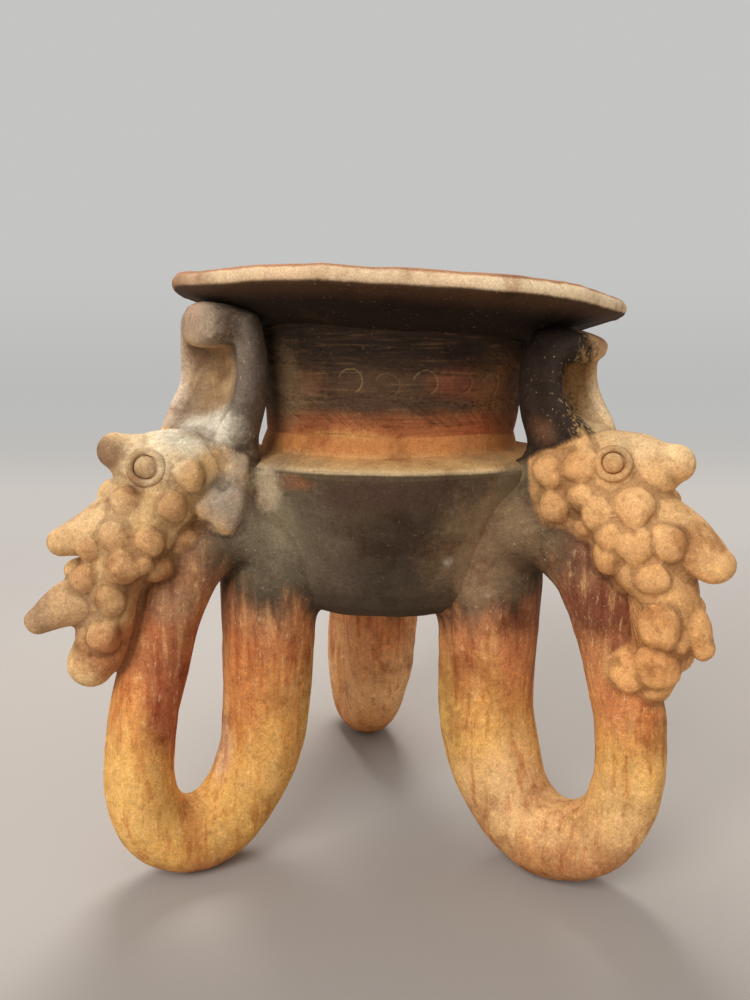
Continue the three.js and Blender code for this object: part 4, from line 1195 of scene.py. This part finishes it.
class BowlSizes(bpy.types.PropertyGroup):
    lift: metres("Lift", "Height of the bowl's underside", float(BASE_LOW[2]))
    body_tall: metres("Body height", "From the underside to the shoulder", 0.063)
    ledge_rise: metres("Ledge rise", "From the shoulder to the waist", 0.005)
    neck_tall: metres("Neck height", "From the waist to the flange", 0.047)
    base_radius: metres("Base radius", "Radius of the flat base", 0.040)
    shoulder_radius: metres("Shoulder radius", "Widest radius of the body", 0.0735)
    waist_radius: metres("Waist radius", "Radius where the neck starts", 0.0545)
    neck_top_radius: metres("Neck top radius", "Radius under the flange", 0.062)
    lip_radius: metres("Lip radius", "Radius to the middle of the lip's round", 0.093)
    flange_rise: metres("Flange rise", "Rise of the flange's underside", 0.0115)
    flange_thick: metres("Flange thickness", "Thickness of flange and lip", 0.007)
    base_thick: metres("Base thickness", "Thickness of the base disc", 0.007)
    body_wall: metres("Body wall", "Thickness of the body and ledge", 0.0065)
    neck_wall: metres("Neck wall", "Thickness of the neck", 0.006)
    neck_shift: metres("Neck shift", "How far the neck's foot stands off the axis", -0.0026)
    rim_shift: metres("Rim shift", "How far the rim stands off the axis", 0.0012)
    rim_tilt: angle("Rim tilt", "Tilt of the rim", 3.2)


class LegSizes(bpy.types.PropertyGroup):
    loop_rise: metres("Loop rise", "Height that the loops' shares refer to", 0.150)
    roll_half: metres("Roll half", "Half thickness that the shares refer to", 0.020)
    worn: metres("Worn depth", "Clay worn off under each foot", 0.001)
    bedded: metres("Bedding", "How deep the clay of a leg is let into the wall", 0.0003)
    sunk: metres("Sunk", "How deep the wall lies behind the clay fused to it", 0.0008)
    wedge_turn: angle("Smear turn", "How far round the wall the smears may go", 58)
    smear_reach: metres("Smear reach", "Distance from the wall that is worked smooth", 0.015)
    crest_smear: FloatProperty(name="Crest smear", description="Share of the smoothing that a crest gets",
                               default=0.16)
    foot_smear: metres("Foot smear", "Height up to which the feet are worked smooth", 0.042)
    smear_passes: IntProperty(name="Smear passes", description="Passes that smooth the smeared clay",
                              default=100)
    voxel: metres("Voxel", "Grain of the fused clay", 0.00105)
    passes: IntProperty(name="Smoothing", description="Passes that soften the fused clay", default=5)


class HeadSizes(bpy.types.PropertyGroup):
    thick: metres("Thickness", "Thickness that the lobes' shares refer to", 0.040)
    pellet_size: metres("Pellet size", "Width that the pellets' shares refer to", 0.012)
    eye_ring: metres("Eye ring", "Radius of an eye's ring", 0.0057)
    eye_roll: metres("Eye roll", "Half thickness of that ring", 0.0014)
    eyeball: metres("Eyeball", "Radius of an eyeball", 0.004)


class CrestSizes(bpy.types.PropertyGroup):
    lip_line: metres("Lip line", "Distance of the lips from the bowl's axis", 0.086)
    depth: metres("Depth", "Depth of the half tube", 0.025)
    half_width: metres("Half width", "Half width of the half tube", 0.021)
    wall: metres("Wall", "Thickness of the half tube's lips", 0.006)
    cap_over: metres("Cap overhang", "How far the cap hangs over the channel", 0.001)
    root_height: metres("Root height", "Height where a crest starts", 0.172)


class StageLook(bpy.types.PropertyGroup):
    floor: shade("Floor", "Colour of the floor", (0.425, 0.387, 0.352))
    distance: shade("Distance", "Colour of the floor far behind", (0.61, 0.57, 0.53))
    backdrop: shade("Backdrop", "Colour of the backdrop", (0.555, 0.555, 0.545))
    key: FloatProperty(name="Key light", description="Power of the light overhead", default=13.0)
    fill: FloatProperty(name="Fill light", description="Power of the light in front", default=15.5)
    sky: FloatProperty(name="Sky", description="Strength of the light from all round", default=0.46)


# Operators

class VESSEL_OT_bowl(bpy.types.Operator):
    """Turns the base, body, ledge, neck and flange as closed shells and cuts the neck's band"""
    bl_idname = "vessel.bowl"
    bl_label = "Bowl"

    def execute(self, context):
        b = context.scene.vessel_bowl
        o = bowl_outlines()
        followed = [*o["floor"], *o["belly"][:-1], o["shoulder"], *o["ledge"][2:], *o["neck"]]
        walls = [b.base_thick] * 2 + [b.body_wall] * (len(o["belly"]) + 2) + [b.neck_wall] * len(o["neck"])
        inside = offset(followed, walls)
        inside[-1] = (b.neck_top_radius - b.neck_wall, o["neck"][-1][1])
        corner = 1 + len(o["belly"])
        waist = corner + 3
        under = o["flange"]
        over = offset(under, b.flange_thick)
        over[0] = inside[-1]
        over[-1] = (b.lip_radius, under[-1][1] + b.flange_thick)
        lip = skin_outline()[-LIP_STEPS:-1]
        clay = wall_clay()
        parts = (
            ("base_disc", [*o["floor"], *inside[:2][::-1]], "smoked_clay", clay, 240),
            ("body_wall", [o["floor"][1], *o["belly"], *inside[1:corner + 1][::-1]], "smoked_clay", clay,
             360),
            ("shoulder_ledge", [o["belly"][-1], *o["ledge"], o["neck"][0], *inside[corner:waist + 1][::-1]],
             "buff_clay", clay, 360),
            ("neck_wall", [*o["neck"], *inside[waist:][::-1]], "banded_clay", neck_clay(), 720),
            ("rim_flange", [*under, *lip, *over[::-1]], "rim_clay", rim_clay(), 480),
        )
        for name, outline, slot, material, sides in parts:
            points, faces = revolved(outline, sides, NECK_STEP if name == "neck_wall" else BOWL_STEP)
            marks = {}
            if name == "neck_wall":
                normals = normals_of(points, faces)
                marks = {"groove": band_rings(points, normals), "scratch": band_strokes(points, normals)}
                deep = marks["groove"] * RING_DEPTH + marks["scratch"] * STROKE_DEPTH
                points = points - normals * deep[:, None]
            if name == "rim_flange":
                # How far the flange faces down, for the soot and painted shade of its underside
                marks = {"under": -normals_of(points, faces)[:, 2]}
            piece(name, at_axis(points + hand_made(points)), faces, slot, material, marks)
        return {"FINISHED"}


class VESSEL_OT_sides(bpy.types.Operator):
    """Fuses each side's clay into one skin and parts it into its leg, head, crest and own pellets"""
    bl_idname = "vessel.sides"
    bl_label = "Legs, heads and crests"

    def execute(self, context):
        legs = context.scene.vessel_legs
        core, core_faces = bowl_core()
        core = core + hand_made(core)
        for name, side in SIDES.items():
            points, quads = fused(side_skins(side), legs.voxel, legs.passes)
            points = smeared(side, points, quads)
            points = points + hand_made(points)
            points[:, 2] = np.maximum(points[:, 2], 0)
            points, faces = without(points, quads, (core, core_faces))
            faces = faces[main_lump(faces, len(points))]
            normals = normals_of(points, faces)
            kind, zones = parted(side, points, faces)
            # The hollow mark sets where the clay gets its painted shade in creases
            marks = {"hollow": hollows(points, faces), **zones}
            material = side_clay(name)
            parts = [("leg", "leg_clay"), ("head", HEAD_SLOTS[name]), ("crest", CREST_SLOTS[name])]
            parts += [(f"pellet_{letter}{place + 1}", HEAD_SLOTS[name])
                      for letter, _, place, *_ in pellets(side, side["own"])]
            for number, (part, slot) in enumerate(parts):
                used, own = np.unique(faces[kind == number], return_inverse=True)
                skin, triangles = closed(points[used], own.reshape(-1, 3))
                piece(f"{name}_{part}", at_axis(skin), triangles, slot, material,
                      {mark: values[used] for mark, values in marks.items()}, normals[used])
        return {"FINISHED"}


class VESSEL_OT_eyes(bpy.types.Operator):
    """Presses the eye rings and the eyeballs on both flanks of each head"""
    bl_idname = "vessel.eyes"
    bl_label = "Eyes"

    def execute(self, context):
        heads = context.scene.vessel_heads
        v = full_turn(20)
        section = np.stack([heads.eye_ring + heads.eye_roll * np.cos(v), heads.eye_roll * np.sin(v)], 1)
        ring = spun(section, full_turn(64)).swapaxes(0, 1).reshape(-1, 3)
        ring_faces = grid_faces(64, 20, close_rows=True)[:, ::-1]
        radii = (heads.eyeball, heads.eyeball, heads.eyeball * EYE_FLAT)
        for name, side in SIDES.items():
            for letter, flank in flanks(side):
                centre, axes = on_flank(side, *side["eye"], flank)
                self.press(name, f"eye_ring_{letter}", (ring @ axes) + centre, ring_faces)
                self.press(name, f"eyeball_{letter}", *ball(centre, radii, axes))
        return {"FINISHED"}

    def press(self, name, part, points, faces):
        """Puts one lump in its place on the vessel, with painted shade darkening it towards its foot on the
        flank
        """
        height = np.abs(points[:, 1]) - np.abs(points[:, 1]).max()
        # Its hollow mark is painted shade where the lump meets the flank
        marks = {"hollow": np.clip(-height / 0.005 - 0.2, 0, 1) * 0.9, "head": np.ones(len(points)),
                 "pellet": np.full(len(points), 0.6)}
        points = placed(SIDES[name], points)
        piece(f"{name}_{part}", at_axis(points + hand_made(points)), faces, HEAD_SLOTS[name],
              bpy.data.materials[f"{name} clay"], marks)


class VESSEL_OT_stage(bpy.types.Operator):
    """Lays the pale floor that sweeps up into the backdrop, and sets the lights and the camera"""
    bl_idname = "vessel.stage"
    bl_label = "Stage"

    def execute(self, context):
        look = context.scene.vessel_stage
        turn = np.linspace(0, math.pi / 2, 24)
        bend = np.stack([BEND_START + BEND_RADIUS * np.sin(turn),
                         BEND_RADIUS - BEND_RADIUS * np.cos(turn)], 1)
        sweep = np.concatenate([[(FLOOR_NEAR, 0.0)], bend, [(BEND_START + BEND_RADIUS, BACKDROP_TOP)]])
        points = np.concatenate([np.insert(sweep, 0, x, axis=1) for x in (-FLOOR_HALF, FLOOR_HALF)])
        rows = len(sweep)
        low = np.arange(rows - 1)
        mesh = mesh_of("floor", points, np.stack([low, low + rows, low + rows + 1, low + 1], 1))
        mesh.shade_smooth()
        floor = bpy.data.objects.new("floor", mesh)
        context.scene.collection.objects.link(floor)
        mesh.materials.append(self.paper(look))

        world = bpy.data.worlds.new("room")
        world.use_nodes = True
        air = world.node_tree.nodes["Background"].inputs
        air["Color"].default_value = (1.0, 0.985, 0.965, 1)
        air["Strength"].default_value = look.sky
        context.scene.world = world
        for name, size, where, aim in LIGHTS:
            light = bpy.data.lights.new(name, "AREA")
            light.energy, light.size, light.shape = getattr(look, name), size, "SQUARE"
            lamp = bpy.data.objects.new(name, light)
            lamp.location = where
            back = np.array(where, float) - np.array(aim, float)
            lamp.rotation_euler = (math.acos(back[2] / np.linalg.norm(back)), 0,
                                   math.atan2(back[0], -back[1]))
            context.scene.collection.objects.link(lamp)

        lens = bpy.data.cameras.new("camera")
        lens.sensor_width, lens.lens, lens.clip_start = 36.0, LENS, 0.01
        camera = bpy.data.objects.new("camera", lens)
        camera.location = (AXIS[0] + CAMERA[0], AXIS[1] + CAMERA[1], CAMERA[2])
        camera.rotation_euler = (math.radians(90 - CAMERA_DOWN), 0, 0)
        context.scene.collection.objects.link(camera)
        context.scene.camera = camera
        context.scene.view_settings.view_transform = "Standard"
        return {"FINISHED"}

    def paper(self, look):
        """The floor's paper: lit close by with a painted falloff, glowing far behind and above with a painted
        dim band
        """
        paper = Clay("floor paper")
        behind = paper.along("Y")
        height = paper.along("Z")
        # Painted shade: the floor a little darker towards the camera
        tint = paper.scaled(tuple(look.floor), paper.ease(behind, -0.35, 0.30, 0.98, 1.06))
        lit = paper.node("ShaderNodeBsdfPrincipled", {}, {
            "Base Color": tint, "Roughness": 0.9, "Specular IOR Level": 0.1})
        far = paper.mix(paper.ease(behind + height, 0.95, 1.7), (*look.distance, 1), (*look.backdrop, 1))
        # A dimmer band painted on the glow where the floor bends up
        dusk = 1 - paper.ease(behind + height, 1.0, 1.5) * paper.ease(behind + height, 2.3, 1.7) * 0.10
        glow = paper.node("ShaderNodeEmission", {}, {0: paper.scaled(far, dusk)})
        seen = paper.node("ShaderNodeLightPath", out="Is Camera Ray") * paper.ease(behind, 0.15, 0.70)
        return paper.done(paper.node("ShaderNodeMixShader", {}, {0: seen, 1: lit, 2: glow}))


class VESSEL_PT_pieces(bpy.types.Panel):
    """Lists the steps that build the vessel"""
    bl_label = "Tripod vessel"
    bl_space_type = "VIEW_3D"
    bl_region_type = "UI"
    bl_category = "Vessel"

    def draw(self, context):
        for step in STEPS:
            self.layout.operator(step.bl_idname)


STEPS = (VESSEL_OT_stage, VESSEL_OT_bowl, VESSEL_OT_sides, VESSEL_OT_eyes)
GROUPS = {"vessel_bowl": BowlSizes, "vessel_legs": LegSizes, "vessel_heads": HeadSizes,
          "vessel_crests": CrestSizes, "vessel_stage": StageLook}


def register():
    for made in (*GROUPS.values(), *STEPS, VESSEL_PT_pieces):
        bpy.utils.register_class(made)
    for name, group in GROUPS.items():
        setattr(bpy.types.Scene, name, PointerProperty(type=group))


def unregister():
    for name in GROUPS:
        delattr(bpy.types.Scene, name)
    for made in (VESSEL_PT_pieces, *STEPS, *GROUPS.values()):
        bpy.utils.unregister_class(made)


def main():
    """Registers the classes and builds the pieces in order"""
    register()
    bpy.ops.vessel.stage()
    bpy.ops.vessel.bowl()
    bpy.ops.vessel.sides()
    bpy.ops.vessel.eyes()


if __name__ == "__main__":
    main()
